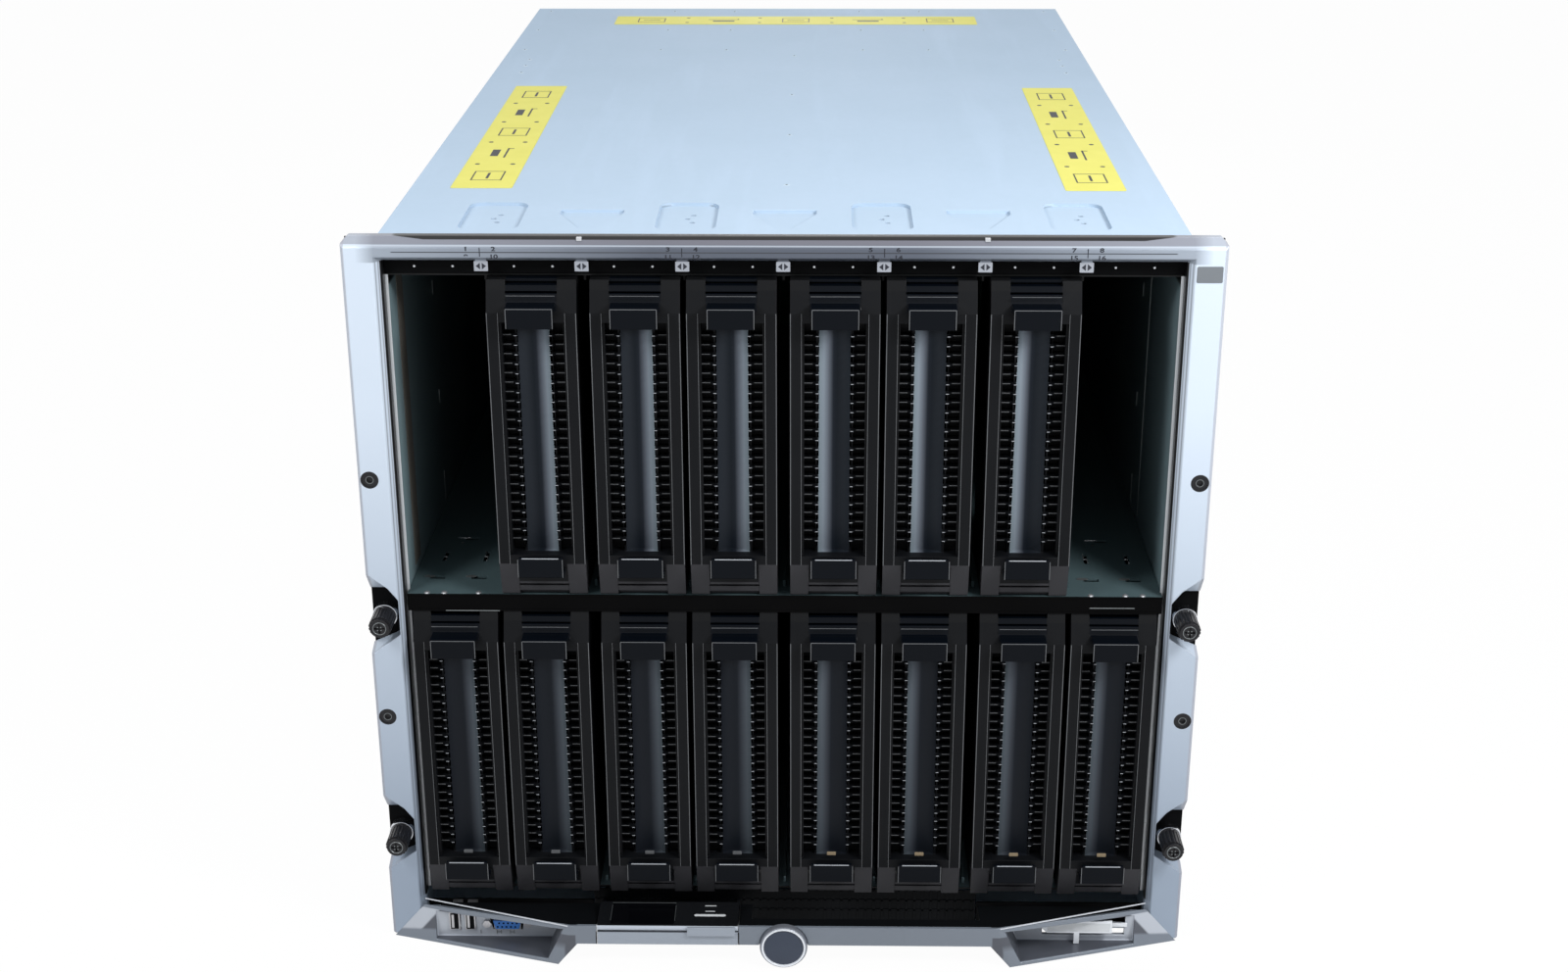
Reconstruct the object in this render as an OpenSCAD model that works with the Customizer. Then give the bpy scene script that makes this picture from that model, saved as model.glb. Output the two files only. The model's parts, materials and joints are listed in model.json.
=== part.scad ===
/* [Blade bays] */
// Space between the two rows of blades, which the shelf fills
row_gap = 11.1; // [9:0.1:16]
// Height of the air intake below the lower row
intake_h = 29.1; // [28.5:0.1:36]
// Height between the upper row and the top of the body
head_h = 22.3; // [20:0.1:30]
// Width between the outer slots and the outside of the body
side_margin = 3.75; // [3.5:0.05:8]
// Depth of the blade bays, from the front of the body to the midplane
bay_d = 515; // [450:1:560]

/* [Blade blank] */
// Gap between two blanks, before the shift towards the middle of a pair
blank_gap = 5.4; // [4:0.1:8]
// Height of one blank
blank_h = 189; // [186:0.5:210]
// Depth of one blank
blank_d = 70; // [40:1:120]
// Wall thickness of one blank
blank_wall = 1.8; // [1.2:0.1:2.4]
// Shift of each blank towards the middle of its pair
pair_shift = 1; // [0:0.1:1.4]
// Width of the frame on each side of a blank
frame_w = 6.5; // [4:0.1:8]
// Width of the step inside each frame
step_w = 1.3; // [0.8:0.1:2]
// Setback of the step inside each frame
step_d = 3; // [2:0.1:5]
// Width of the hollow channel in the middle of a blank
channel_w = 17.8; // [14:0.1:20]
// Setback of the channel's edges
channel_set = 7; // [5:0.1:9]
// How much deeper the channel's middle lies than its edges
channel_sag = 4; // [2:0.1:6]
// Thickness of the channel's wall
channel_wall = 1.5; // [1:0.1:2]
// Setback of the panel behind the louvres
louvre_set = 14; // [12:0.5:20]
// Number of louvre fins on each side of the channel
fin_count = 23; // [10:1:26]
// Distance from one louvre fin to the next
fin_pitch = 5.56; // [4.5:0.01:5.6]
// Thickness of a louvre fin
fin_t = 1; // [0.6:0.1:1.6]
// Height of the lowest louvre fin above the blank's foot
fin_z = 34.9; // [32:0.1:38]
// Setback of the louvre fins' outer ends
fin_set = 5.5; // [4:0.1:8]
// Setback of the louvre fins' ends at the channel
fin_tip_set = 3.2; // [2:0.1:5]
// Height of the sloping lower end of a blank
foot_h = 21.3; // [18:0.1:24]
// Height of the sloping upper end of a blank
crown_h = 17.5; // [15:0.1:20]
// How far the sloping ends lean back
end_lean = 6; // [3:0.1:8]
// Width of each of the four ears at a blank's corners
ear_w = 10.5; // [8:0.1:12]
// Height of the cross frames above the foot and below the crown
cross_h = 5.5; // [4:0.1:7]
// Wider edge of a finger tab
tab_w = 26.5; // [20:0.1:27]
// Difference between the two edges of a finger tab
tab_taper = 2; // [0:0.1:4]
// Height of a finger tab
tab_h = 12; // [9:0.1:13]
// How far a finger tab stands out in front of a blank
tab_out = 10; // [6:0.1:12]
// Thickness of a finger tab
tab_t = 2; // [1.4:0.1:2.6]

/* [Body] */
// Depth of the sheet-metal body
body_d = 754; // [730:1:800]
// Thickness of the body's folded sheet
sheet = 1.5; // [1:0.1:2]
// Thickness of the top cover
cover_t = 1.2; // [0.8:0.1:1.6]
// Width of the lips that carry the top cover
cover_lip = 12; // [8:0.5:20]
// Thickness of the inner liner, the shelf and the rear cage
liner_t = 1.2; // [0.8:0.1:1.5]
// Height of the guide rails between the slots
rail_h = 4; // [2:0.1:6]
// Width of the guide rails between the slots
rail_w = 1.6; // [1:0.1:2.2]
// Distance that the shelf stands out in front of the liner
shelf_out = 8; // [4:0.1:10]
// Clearance between pieces
clear = 0.3; // [0.2:0.05:0.5]
// Seam between two sheets of one frame, where their edges are joined
seam = 0.1; // [0.05:0.01:0.15]
// Radial clearance of a turning shaft
run_clear = 0.05; // [0.02:0.01:0.1]

/* [Bezel] */
// Width of the pointer tabs under the bezel's top bar
pointer_w = 6; // [4:0.1:8]
// How far the pointer tabs hang below the top bar
pointer_h = 6; // [4:0.1:7]
// Width across the rack ears
rack_w = 482.6; // [478:0.1:486]
// Thickness of the bezel, with the front frame behind it
bezel_t = 12.7; // [11:0.1:16]
// Thickness of the front frame
frame_t = 1.5; // [1:0.1:2]
// Height of the bezel's top bar
top_bar_h = 13.3; // [10:0.1:16]
// Height of the bezel above the body
bezel_rise = 2.3; // [1:0.1:4]
// Height of the bezel's lower edge
bezel_foot = 1.3; // [0.5:0.1:3]
// Distance from the body's side in to the bezel's opening
stile_in = 4; // [3:0.1:5]
// Width of the bevel round the bezel's opening
bevel_w = 4; // [2:0.1:5]
// Depth of the bevel round the bezel's opening
bevel_d = 4.5; // [2:0.1:6]
// Chamfer on the bezel's outer edges
bezel_chamfer = 1.6; // [0.5:0.1:3]
// Distance from the bezel's side in to the rack holes
rack_hole_in = 8.8; // [8:0.1:10]
// Distance that each rack ear stands out beyond the body
ear_out = 17.55; // [16:0.05:19]
// Height of the lower thumbscrews
thumb_z = 70; // [64:0.5:80]
// Distance between the lower and upper thumbscrews
thumb_pitch = 145; // [130:0.5:160]
// Height of the lower bezel screws
bezel_screw_z = 151.2; // [140:0.1:160]
// Distance between the lower and upper bezel screws
bezel_screw_pitch = 150.5; // [140:0.1:160]
// Radius of a bezel screw's head
bezel_screw_r = 4.4; // [3:0.1:5]

/* [Thumbscrews] */
// Radius of a thumbscrew's knurled head
thumb_r = 6.6; // [5:0.1:7]
// Length of a thumbscrew's knurled head
thumb_len = 17; // [12:0.5:20]
// Radius of a thumbscrew's shoulder, which turns in its collar
thumb_shank_r = 3; // [2.8:0.05:3.6]
// Radius of a thumbscrew's stud
thumb_stud_r = 2.45; // [2:0.05:2.7]
// Length of the stud behind the front frame
thumb_reach = 10; // [6:0.5:14]
// Radius of the collar that holds a thumbscrew
collar_r = 7.2; // [6:0.1:8]
// Length of the collar that holds a thumbscrew
collar_len = 7; // [4:0.1:9]

/* [Chin] */
// How far the chin stands out in front of the body
chin_out = 43; // [38:0.5:50]
// Height of the chin's top along its front
chin_top = 27; // [25:0.1:28]
// Height of the chin's top along the bezel
chin_back = 22; // [20:0.1:24]
// Height of the lower edge of the chin's middle strip
strip_z = 14.4; // [12:0.1:17]
// Half the width of the chin's middle strip
strip_half = 124; // [118:0.5:130]
// Wall thickness of the chin
chin_wall = 2.2; // [1.6:0.1:3]
// Width of the display module
lcd_w = 84.6; // [76:0.2:88]
// Middle of the display module, to the left of the chassis's middle
lcd_x = 69.7; // [66:0.1:72]
// Depth of the display's flap
lcd_d = 27; // [22:0.5:27]
// Thickness of the display's flap
lcd_t = 3.6; // [3:0.1:5]
// Radius of the round badge
badge_r = 14.3; // [12:0.1:14.4]
// Height of the round badge's middle
badge_z = 14.6; // [14.6:0.1:14.8]
// Depth of the badge's seat in the chin
badge_seat = 1.2; // [0.8:0.1:1.4]
// Share of the right scoop's width that its openings take
slot_share = 0.712; // [0.5:0.01:0.76]
// Height of the openings in the chin's right scoop
slot_h = 6.4; // [4:0.1:6.5]
// Height of the lower edge of the bar between those openings
bar_z = 11.9; // [11:0.1:13]
// Height of the bar between those openings
bar_h = 2.9; // [2:0.1:4]
// Share of the right scoop's width that the bare name plate takes
plate_share = 0.612; // [0.4:0.01:0.64]
// Height of the bare name plate
plate_h = 8.4; // [7:0.1:9]
// Width of a data port, which stands on end
usb_w = 6; // [5.6:0.1:6.4]
// Height of a data port
usb_h = 12.4; // [12:0.1:12.8]
// Width of the video port
vga_w = 16.4; // [16:0.1:17]
// Height of the video port
vga_h = 7.8; // [7.6:0.1:8.4]

/* [Rear modules] */
// Height of a power supply
psu_h = 114; // [100:0.5:120]
// Room between the midplane and the power supplies
psu_room = 30; // [24:1:60]
// How far a power supply's handle stands out
psu_handle = 35; // [25:0.5:45]
// Height of a management module
mgmt_h = 34; // [28:0.5:40]
// Room between the midplane and the management modules
mgmt_room = 55; // [24:1:80]
// Width of an input and output filler
io_w = 29.4; // [26:0.1:32]
// Depth of an input and output filler
io_len = 60; // [40:1:120]
// Depth of a fan housing
fan_d = 60; // [40:1:80]
// Wall left round a fan's bore
fan_wall = 2.4; // [1.6:0.1:4]
// Gap between a rotor and its bore
tip_gap = 1; // [0.6:0.1:2]
// Radius of a rotor's hub
hub_r = 17; // [14:0.5:20]
// Number of blades on a rotor
rotor_blades = 7; // [5:1:9]
// Pitch of a rotor's blades, in degrees
blade_pitch = 38; // [25:1:45]
// Thickness of the midplane board
board_t = 4; // [2:0.1:6]

/* [Hidden] */
cols = 8;
eps = 0.01;
far = 900;

body_w = rack_w - 2 * ear_out;
slot_pitch = (body_w - 2 * side_margin) / cols;
blank_w = slot_pitch - blank_gap;
low_z = intake_h;
high_z = intake_h + blank_h + row_gap;
bay_top = high_z + blank_h;
body_h = bay_top + head_h;
in_w = body_w - 2 * sheet;
front = -bezel_t;
blank_y = front - clear;

stile_x = body_w / 2 - stile_in;
bezel_top = body_h + bezel_rise;
wing_foot_x = rack_w / 2 - 1.3;
wing_nose_x = strip_half + 12;
roof_drop = chin_wall + 0.8;
scoop_back = front - 2.8;
scoop_floor = chin_wall;
scoop_end_x = stile_x - 6.5;
usb_x = [-stile_x + 17.75, -stile_x + 27.05];
port_z = 6;
vga_x = -stile_x + 49.95;
vga_z = 11;
scoop_w = scoop_end_x - wing_nose_x - 7;
slot_end_x = scoop_end_x - 5.5;
slot_w = slot_share * scoop_w;
plate_w = plate_share * scoop_w;
plate_x = scoop_end_x - scoop_w / 2;
plate_z = 10;
plate_t = 1.4;
open_top = bezel_top - top_bar_h;
thumb_x = rack_w / 2 - rack_hole_in;
bezel_screw_x = rack_w / 2 - bezel_screw_r - 2.4;
liner_x = cols * slot_pitch / 2 - 1;

cage_y = bay_d + board_t + 3 * clear;
cage_d = body_d - cage_y - sheet;
cage_w = in_w - 2 * clear;
cage_z = sheet + clear;
cage_h = body_h - cover_t - sheet - 2 * clear - cage_z;
psu_cell_w = (cage_w - 7 * liner_t) / 6;
psu_w = psu_cell_w - 2 * clear;
mgmt_cell_w = (cage_w - 4 * liner_t) / 3;
mgmt_w = mgmt_cell_w - 2 * clear;
psu_cell_h = psu_h + 2 * clear;
mgmt_cell_h = mgmt_h + 2 * clear;
io_cell_w = io_w + 2 * clear;
io_cell_h = cage_h - psu_cell_h - mgmt_cell_h - 4 * liner_t;
io_h = io_cell_h - 2 * clear;
fan_cell_w = (cage_w - 6 * io_cell_w - 10 * liner_t) / 3;
fan_w = fan_cell_w - 2 * clear;
fan_cell_h = (io_cell_h - 2 * liner_t) / 3;
fan_h = fan_cell_h - 2 * clear;
group_pitch = fan_cell_w + 3 * io_cell_w + 4 * liner_t;
psu_z = cage_z + liner_t + clear;
io_z = psu_z + psu_h + 2 * clear + liner_t;
mgmt_z = io_z + io_h + 2 * clear + liner_t;
fan_r = min(fan_w, fan_h) / 2 - fan_wall;
rotor_r = fan_r - tip_gap;
fan_y = body_d - sheet - fan_d;
psu_len = body_d - bay_d - board_t - psu_room;
mgmt_len = body_d - bay_d - board_t - mgmt_room;
psu_grip_z = psu_h - 21;
plug_h = 0.26 * blank_h;
plug_z = [0.16 * blank_h, 0.58 * blank_h];
rotor_shank_r = 3;

high_slots = [2, 3, 4, 5, 6, 7];
low_slots = [9, 10, 11, 12, 13, 14, 15, 16];
slots = concat(high_slots, low_slots);

function two(n) = n < 10 ? str("0", n) : str(n);
function slot_col(s) = (s - 1) % cols;
function slot_x(s) = (slot_col(s) - (cols - 1) / 2) * slot_pitch;
function blank_x(s) = slot_x(s) + (slot_col(s) % 2 == 0 ? pair_shift : -pair_shift);
function blank_z(s) = s > cols ? low_z : high_z;
function psu_x(i) = (i - 2.5) * (psu_cell_w + liner_t);
function mgmt_x(i) = (i - 1) * (mgmt_cell_w + liner_t);
function io_x(k) = (floor(k / 3) - 0.5) * group_pitch + (k % 3 - 1) * (io_cell_w + liner_t);
function fan_x(f) = (floor(f / 3) - 1) * group_pitch;
function fan_z(f) = io_z + fan_h / 2 + (f % 3) * (fan_cell_h + liner_t);
function chin_slope(y) = chin_back + (chin_top - chin_back) * (front - y) / (front + chin_out);

blank_names = [for (s = slots) str("blank_", two(s))];
psu_names = [for (i = [1:6]) str("power_supply_", i)];
io_names = [for (i = [1:6]) str("io_filler_", i)];
rotor_names = [for (i = [1:9]) str("fan_rotor_", i)];
thumb_names = [for (i = [1:4]) str("thumbscrew_", i)];
mgmt_names = ["management_module_1", "kvm_module", "management_module_2"];
fixed_names = ["chassis_shell", "top_cover", "front_frame", "bezel_frame", "bezel_chin", "chin_tray",
    "front_ports", "round_badge", "name_bar", "mid_shelf", "bay_liner", "midplane", "rear_cage",
    "fan_housings", "bezel_screws", "thumbscrew_collars"];

// The row frame's origin is the middle of the body's underside.
module place() {
    translate([0, -body_d / 2, 0]) children();
}

// Extrudes an outline drawn in Y and Z along X, centred.
module along_x(w) {
    rotate([90, 0, 90]) linear_extrude(w, center = true) children();
}

// Extrudes an outline drawn in X and Z towards +Y, from y.
module along_y(y, d) {
    translate([0, y + d, 0]) rotate([90, 0, 0]) linear_extrude(d) children();
}

module both_sides() {
    children();
    mirror([1, 0, 0]) children();
}

// A box by its lowest corner and its size, centred on x.
module slab(x, y, z, w, d, h) {
    translate([x - w / 2, y, z]) cube([w, d, h]);
}

module rounded(w, h, r) {
    square([w - 2 * r, h], center = true);
    square([w, h - 2 * r], center = true);
    for (x = [-1, 1], z = [-1, 1]) {
        translate([x * (w / 2 - r), z * (h / 2 - r)]) circle(r, $fn = 24);
    }
}

// ---------------------------------------------------------------- blank

// Half of the blank's section between its cross frames, seen from above.
module blank_half_section() {
    inner = blank_w / 2 - frame_w;
    translate([inner, 0]) square([frame_w, blank_wall]);
    translate([blank_w / 2 - blank_wall, 0]) square([blank_wall, blank_d]);
    translate([inner - step_w, step_d]) square([step_w + blank_wall, channel_wall]);
    translate([inner, 0]) square([channel_wall, step_d + channel_wall]);
    translate([inner - step_w, step_d]) square([channel_wall, louvre_set - step_d]);
    translate([channel_w / 2, louvre_set - channel_wall])
        square([blank_w / 2 - channel_w / 2 - eps, channel_wall]);
    translate([channel_w / 2, channel_set]) square([channel_wall, louvre_set - channel_set]);
}

// The hollow, satin channel down the middle.
module channel_section() {
    r = (pow(channel_w / 2, 2) + pow(channel_sag, 2)) / (2 * channel_sag);
    intersection() {
        translate([0, channel_set + channel_sag - r]) difference() {
            circle(r + channel_wall, $fn = 96);
            circle(r, $fn = 96);
        }
        translate([-channel_w / 2 - eps, channel_set]) square([channel_w + 2 * eps, channel_sag + channel_wall + 1]);
    }
}

// One louvre fin, seen from above, on the +X side.
module fin_outline() {
    a = channel_w / 2 + eps;
    b = blank_w / 2 - frame_w - step_w + eps;
    polygon([[a, louvre_set - eps], [a, fin_tip_set], [a + 1.6, fin_tip_set], [a + 3.4, fin_set], [b, fin_set],
        [b, louvre_set - eps]]);
}

// A finger tab: a plate in front, joined to the blank by a web along its wide edge.
module finger_tab() {
    intersection() {
        along_x(tab_w) polygon([[-tab_out, 0.6], [-tab_out + 0.8, 0], [blank_wall, 0], [blank_wall, tab_t],
            [tab_t - tab_out + 0.6, tab_t], [tab_t - tab_out + 0.6, tab_h], [-tab_out + 0.6, tab_h]]);
        along_y(-tab_out - 1, tab_out + blank_wall + 2) polygon([[-tab_w / 2, 0], [tab_w / 2, 0],
            [tab_w / 2 - tab_taper / 2, tab_h], [-tab_w / 2 + tab_taper / 2, tab_h]]);
    }
}

// The sloping end of a blank with its two ears; z counts from the outer end inwards.
module blank_end(h) {
    gap = blank_w - 2 * ear_w;
    plate = blank_wall * 1.2;
    both_sides() slab_at_ear(h, plate);
    slab(0, end_lean + plate - eps, 0, gap + 2 * eps, blank_d - end_lean - plate, blank_wall);
    along_x(gap + 2 * eps) polygon([[end_lean - 1.2, 2.8], [end_lean + 4, 2.8], [end_lean + 4, h + eps],
        [end_lean + 2.2, h + eps], [end_lean + 2.2, 6.2], [end_lean - 2, 6.2]]);
    along_x(gap + 2 * eps) polygon([[end_lean - 2.4, 7.4], [end_lean + 4, 7.4], [end_lean + 4, h + eps], [0, h + eps],
        [0, h - 2], [end_lean - 3.6, h - 6]]);
}

module slab_at_ear(h, plate) {
    translate([blank_w / 2 - ear_w / 2, 0, 0]) along_x(ear_w)
        polygon([[end_lean, 0], [end_lean + plate, 0], [plate, h + eps], [0, h + eps]]);
    translate([blank_w / 2 - blank_wall / 2, 0, 0]) along_x(blank_wall)
        polygon([[end_lean, 0], [blank_d, 0], [blank_d, h + eps], [0, h + eps]]);
    slab(blank_w / 2 - ear_w / 2, end_lean, 0, ear_w, blank_d - end_lean, blank_wall);
}

module blank(s) {
    color([0.08, 0.08, 0.09]) translate([blank_x(s), blank_y, blank_z(s)]) {
        crown_z = blank_h - crown_h;
        both_sides() translate([0, 0, foot_h]) linear_extrude(crown_z - foot_h) blank_half_section();
        translate([0, 0, foot_h]) linear_extrude(crown_z - foot_h) channel_section();
        both_sides() for (k = [0:fin_count - 1]) {
            translate([0, 0, fin_z + k * fin_pitch - fin_t / 2]) linear_extrude(fin_t) fin_outline();
        }
        for (z = [foot_h, crown_z - cross_h]) {
            slab(0, 0, z, blank_w - 2 * frame_w + 2 * eps, louvre_set, cross_h);
        }
        blank_end(foot_h);
        translate([0, 0, blank_h]) mirror([0, 0, 1]) blank_end(crown_h);
        translate([0, 0, foot_h - 4.6]) finger_tab();
        translate([0, 0, crown_z + 5.6]) mirror([0, 0, 1]) finger_tab();
    }
}

// ---------------------------------------------------------------- body

module chassis_shell() {
    color([0.72, 0.77, 0.8]) along_y(clear, body_d - clear) difference() {
        translate([-body_w / 2, 0]) square([body_w, body_h - cover_t - clear]);
        translate([-in_w / 2, sheet]) square([in_w, body_h - cover_t - clear - 2 * sheet]);
        translate([-in_w / 2 + cover_lip, sheet]) square([in_w - 2 * cover_lip, body_h]);
    }
}

module front_frame() {
    color([0.08, 0.08, 0.09]) difference() {
        along_y(-frame_t, frame_t) difference() {
            translate([-rack_w / 2 + 0.6, bezel_foot + 2]) square([rack_w - 1.2, bezel_top - bezel_foot - 4]);
            translate([-stile_x - 0.6, chin_back - 3]) square([2 * stile_x + 1.2, bay_top + 5 - chin_back]);
            translate([-strip_half + 6, sheet + 4]) square([2 * strip_half - 12, chin_back]);
        }
        both_sides() for (z = [0, thumb_pitch]) {
            translate([thumb_x, 0, thumb_z + z]) rotate([90, 0, 0])
                cylinder(r = thumb_shank_r + run_clear, h = 10, center = true, $fn = 48);
        }
        both_sides() for (z = [0, bezel_screw_pitch]) {
            translate([bezel_screw_x, 0, bezel_screw_z + z]) rotate([90, 0, 0])
                cylinder(r = 2.3, h = 10, center = true, $fn = 32);
        }
    }
}

module cover_pocket() {
    rounded(34, 60, 8);
}

module top_cover() {
    z = body_h - cover_t;
    dent = 1.8;
    color([0.74, 0.79, 0.83]) difference() {
        union() {
            slab(0, clear, z, body_w, body_d - clear, cover_t);
            for (x = [-3, -1, 1, 3]) {
                translate([x * slot_pitch, 45, z - dent]) linear_extrude(dent + eps) rounded(36, 62, 9);
            }
            for (x = [-2, 0, 2]) {
                translate([x * slot_pitch, 40, z - dent]) linear_extrude(dent + eps)
                    polygon([[-19, 20], [19, 20], [19, 10], [5, -22], [-5, -22], [-19, 10]]);
            }
        }
        for (x = [-3, -1, 1, 3]) {
            translate([x * slot_pitch, 45, z + cover_t - dent]) linear_extrude(10) cover_pocket();
            for (k = [-1, 0, 1]) {
                translate([x * slot_pitch + 3 * k * k, 45 + 8 * k, z - 5])
                    cylinder(r = 1.6, h = 10, $fn = 24);
            }
        }
        for (x = [-2, 0, 2]) {
            translate([x * slot_pitch, 40, z + cover_t - dent]) linear_extrude(10)
                polygon([[-18, 19], [18, 19], [18, 10.4], [4.4, -21], [-4.4, -21], [-18, 10.4]]);
        }
    }
}

// The guide rails on one side of a sheet whose face is at z.
module liner_rails(z, up) {
    for (x = [-3:3]) {
        slab(x * slot_pitch, 5, up ? z + seam : z - rail_h - seam, rail_w, bay_d - 10, rail_h);
    }
}

module bay_liner() {
    floor_z = low_z - clear;
    roof_z = bay_top + clear;
    wide = 2 * liner_x;
    color([0.42, 0.5, 0.52]) {
        for (z = [floor_z - liner_t, roof_z]) slab(0, 0, z, wide, bay_d - clear, liner_t);
        both_sides() slab(liner_x + seam + liner_t / 2, 0, floor_z - liner_t, liner_t, bay_d - clear,
            roof_z - floor_z + 2 * liner_t);
        liner_rails(floor_z, true);
        liner_rails(roof_z, false);
    }
}

// The shelf between the rows: two sheets and a front wall.
module mid_shelf() {
    top = high_z - clear;
    under = low_z + blank_h + clear;
    w = 2 * liner_x - 2 * clear;
    back = bay_d - 2 * clear;
    color([0.42, 0.5, 0.52]) {
        difference() {
            slab(0, -shelf_out, top - liner_t, w, back + shelf_out, liner_t);
            for (s = [1:cols]) deck_slots(slot_x(s), top - 2 * liner_t);
        }
        slab(0, -shelf_out, under, w, back + shelf_out, liner_t);
        slab(0, -shelf_out, under + liner_t + seam, w, liner_t, top - under - 2 * liner_t - 2 * seam);
        liner_rails(top, true);
        liner_rails(under, false);
    }
}

// The slots in the shelf's deck under one blade.
module deck_slots(x, z) {
    for (side = [-12.3, 12.3]) {
        slab(x + side, 40, z, 2.4, 14, far);
        slab(x + side, 14, z, 9, 4, far);
    }
    slab(x, 72, z, 8, 4, far);
}

module midplane() {
    plug_d = 14;
    color([0.1, 0.3, 0.16]) {
        slab(0, bay_d, low_z, 2 * liner_x, board_t, bay_top - low_z);
        for (s = [1:2 * cols], z = plug_z) {
            slab(slot_x(s), bay_d - plug_d, blank_z(s) + z, 16, plug_d - seam, plug_h);
        }
    }
}

// The cage's sheets: two sides, four shelves and the dividers between them.
module cage_divider(x, z, h) {
    slab(x, cage_y, z + seam, liner_t, cage_d, h - 2 * seam);
}

module rear_cage() {
    inner_w = cage_w - 2 * liner_t - 2 * seam;
    psu_cell_z = psu_z - clear;
    io_cell_z = io_z - clear;
    mgmt_cell_z = mgmt_z - clear;
    color([0.6, 0.64, 0.66]) {
        both_sides() slab(cage_w / 2 - liner_t / 2, cage_y, cage_z, liner_t, cage_d, cage_h);
        for (z = [cage_z, io_cell_z - liner_t, mgmt_cell_z - liner_t, cage_z + cage_h - liner_t]) {
            slab(0, cage_y, z, inner_w, cage_d, liner_t);
        }
        for (i = [1:5]) cage_divider((i - 3) * (psu_cell_w + liner_t), psu_cell_z, psu_cell_h);
        for (i = [0, 1]) cage_divider((i - 0.5) * (mgmt_cell_w + liner_t), mgmt_cell_z, mgmt_cell_h);
        for (g = [0, 1], k = [-1.5:1.5]) {
            cage_divider((g - 0.5) * group_pitch + k * (io_cell_w + liner_t), io_cell_z, io_cell_h);
        }
        for (g = [0:2], k = [1, 2]) {
            slab(fan_x(3 * g), cage_y, io_cell_z + k * (fan_cell_h + liner_t) - liner_t,
                fan_cell_w - 2 * seam, cage_d, liner_t);
        }
    }
}

// ---------------------------------------------------------------- fans

module fan_housing() {
    guard_t = 1.6;
    boss_y = 12;
    difference() {
        slab(0, 0, -fan_h / 2, fan_w, fan_d, fan_h);
        rotate([-90, 0, 0]) translate([0, 0, -1]) cylinder(r = fan_r, h = fan_d + 2, $fn = 96);
    }
    difference() {
        union() {
            rotate([-90, 0, 0]) cylinder(r = hub_r, h = boss_y, $fn = 48);
            for (a = [45, 135]) rotate([0, a, 0]) slab(0, 2, -fan_r - 0.8, 5, 4, 2 * fan_r + 1.6);
        }
        rotate([-90, 0, 0]) translate([0, 0, -1])
            cylinder(r = rotor_shank_r + run_clear, h = boss_y + 2, $fn = 48);
    }
    translate([0, fan_d - guard_t, 0]) {
        for (a = [0, 90]) rotate([0, a, 0]) slab(0, 0, -fan_r - 0.8, 2.4, guard_t, 2 * fan_r + 1.6);
        for (r = [hub_r - 5, hub_r + 4, hub_r + 13]) {
            rotate([-90, 0, 0]) difference() {
                cylinder(r = r + 1, h = guard_t, $fn = 64);
                translate([0, 0, -1]) cylinder(r = r - 1, h = guard_t + 2, $fn = 64);
            }
        }
    }
}

module fan_housings() {
    color([0.1, 0.1, 0.11]) for (f = [0:8]) translate([fan_x(f), fan_y, fan_z(f)]) fan_housing();
}

// One curved blade, lying along +X.
module rotor_blade() {
    r = 26;
    chord = 26;
    intersection() {
        rotate([90, 0, 0]) cylinder(r = rotor_r, h = far, center = true, $fn = 96);
        translate([hub_r - 1, 0, 0]) rotate([blade_pitch, 0, 0]) rotate([90, 0, 90]) linear_extrude(rotor_r)
            intersection() {
                translate([0, -r]) difference() {
                    circle(r + 0.8, $fn = 96);
                    circle(r - 0.8, $fn = 96);
                }
                translate([-chord / 2, -chord / 2]) square([chord, chord]);
            }
    }
}

module fan_rotor(f) {
    boss_y = 12;
    hub_d = 28;
    color([0.14, 0.14, 0.15]) translate([fan_x(f), fan_y, fan_z(f)]) {
        translate([0, boss_y + 2 * clear, 0]) {
            rotate([-90, 0, 0]) cylinder(r = hub_r, h = hub_d, $fn = 64);
            for (k = [0:rotor_blades - 1]) {
                rotate([0, 360 / rotor_blades * k, 0]) translate([0, hub_d / 2, 0]) rotor_blade();
            }
        }
        rotate([-90, 0, 0]) translate([0, 0, 1]) cylinder(r = rotor_shank_r, h = boss_y + 2, $fn = 48);
    }
}

// ---------------------------------------------------------------- rear modules

module power_supply(i) {
    lip = 2;
    grip_w = psu_w - 20;
    color([0.55, 0.57, 0.6]) translate([psu_x(i), body_d, psu_z]) {
        difference() {
            slab(0, -psu_len, 0, psu_w, psu_len, psu_h);
            translate([-14, lip, 70]) rotate([90, 0, 0]) cylinder(r = 19, h = 4, $fn = 64);
            slab(psu_w / 2 - 22, -16, 12, 27, 20, 22);
        }
        for (r = [5, 11, 17]) {
            translate([-14, -lip, 70]) rotate([90, 0, 0]) difference() {
                translate([0, 0, -1.6]) cylinder(r = r, h = 1.7, $fn = 48);
                translate([0, 0, -5]) cylinder(r = r - 1.6, h = 10, $fn = 48);
            }
        }
        for (x = [-7, 0, 7]) slab(psu_w / 2 - 22 + x, -16 - eps, x == 0 ? 25 : 18, 1.8, 12, 5.6);
        for (x = [-1, 1]) slab(x * (grip_w / 2 - 4), -eps, psu_grip_z + 1, 8, psu_handle - 5, 7);
        slab(0, psu_handle - 8, psu_grip_z, grip_w, 8, 9);
    }
}

module io_filler(k) {
    wall = 1.4;
    color([0.35, 0.37, 0.4]) translate([io_x(k), body_d, io_z]) difference() {
        union() {
            difference() {
                slab(0, -io_len, 0, io_w, io_len, io_h);
                slab(0, -io_len - 1, wall, io_w - 2 * wall, io_len - 1, io_h - 2 * wall);
            }
            slab(0, -eps, 8, io_w - 8, 9, 3);
        }
        for (z = [24:9:io_h - 16]) slab(0, -8, z, io_w - 10, 20, 4.5);
    }
}

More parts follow.
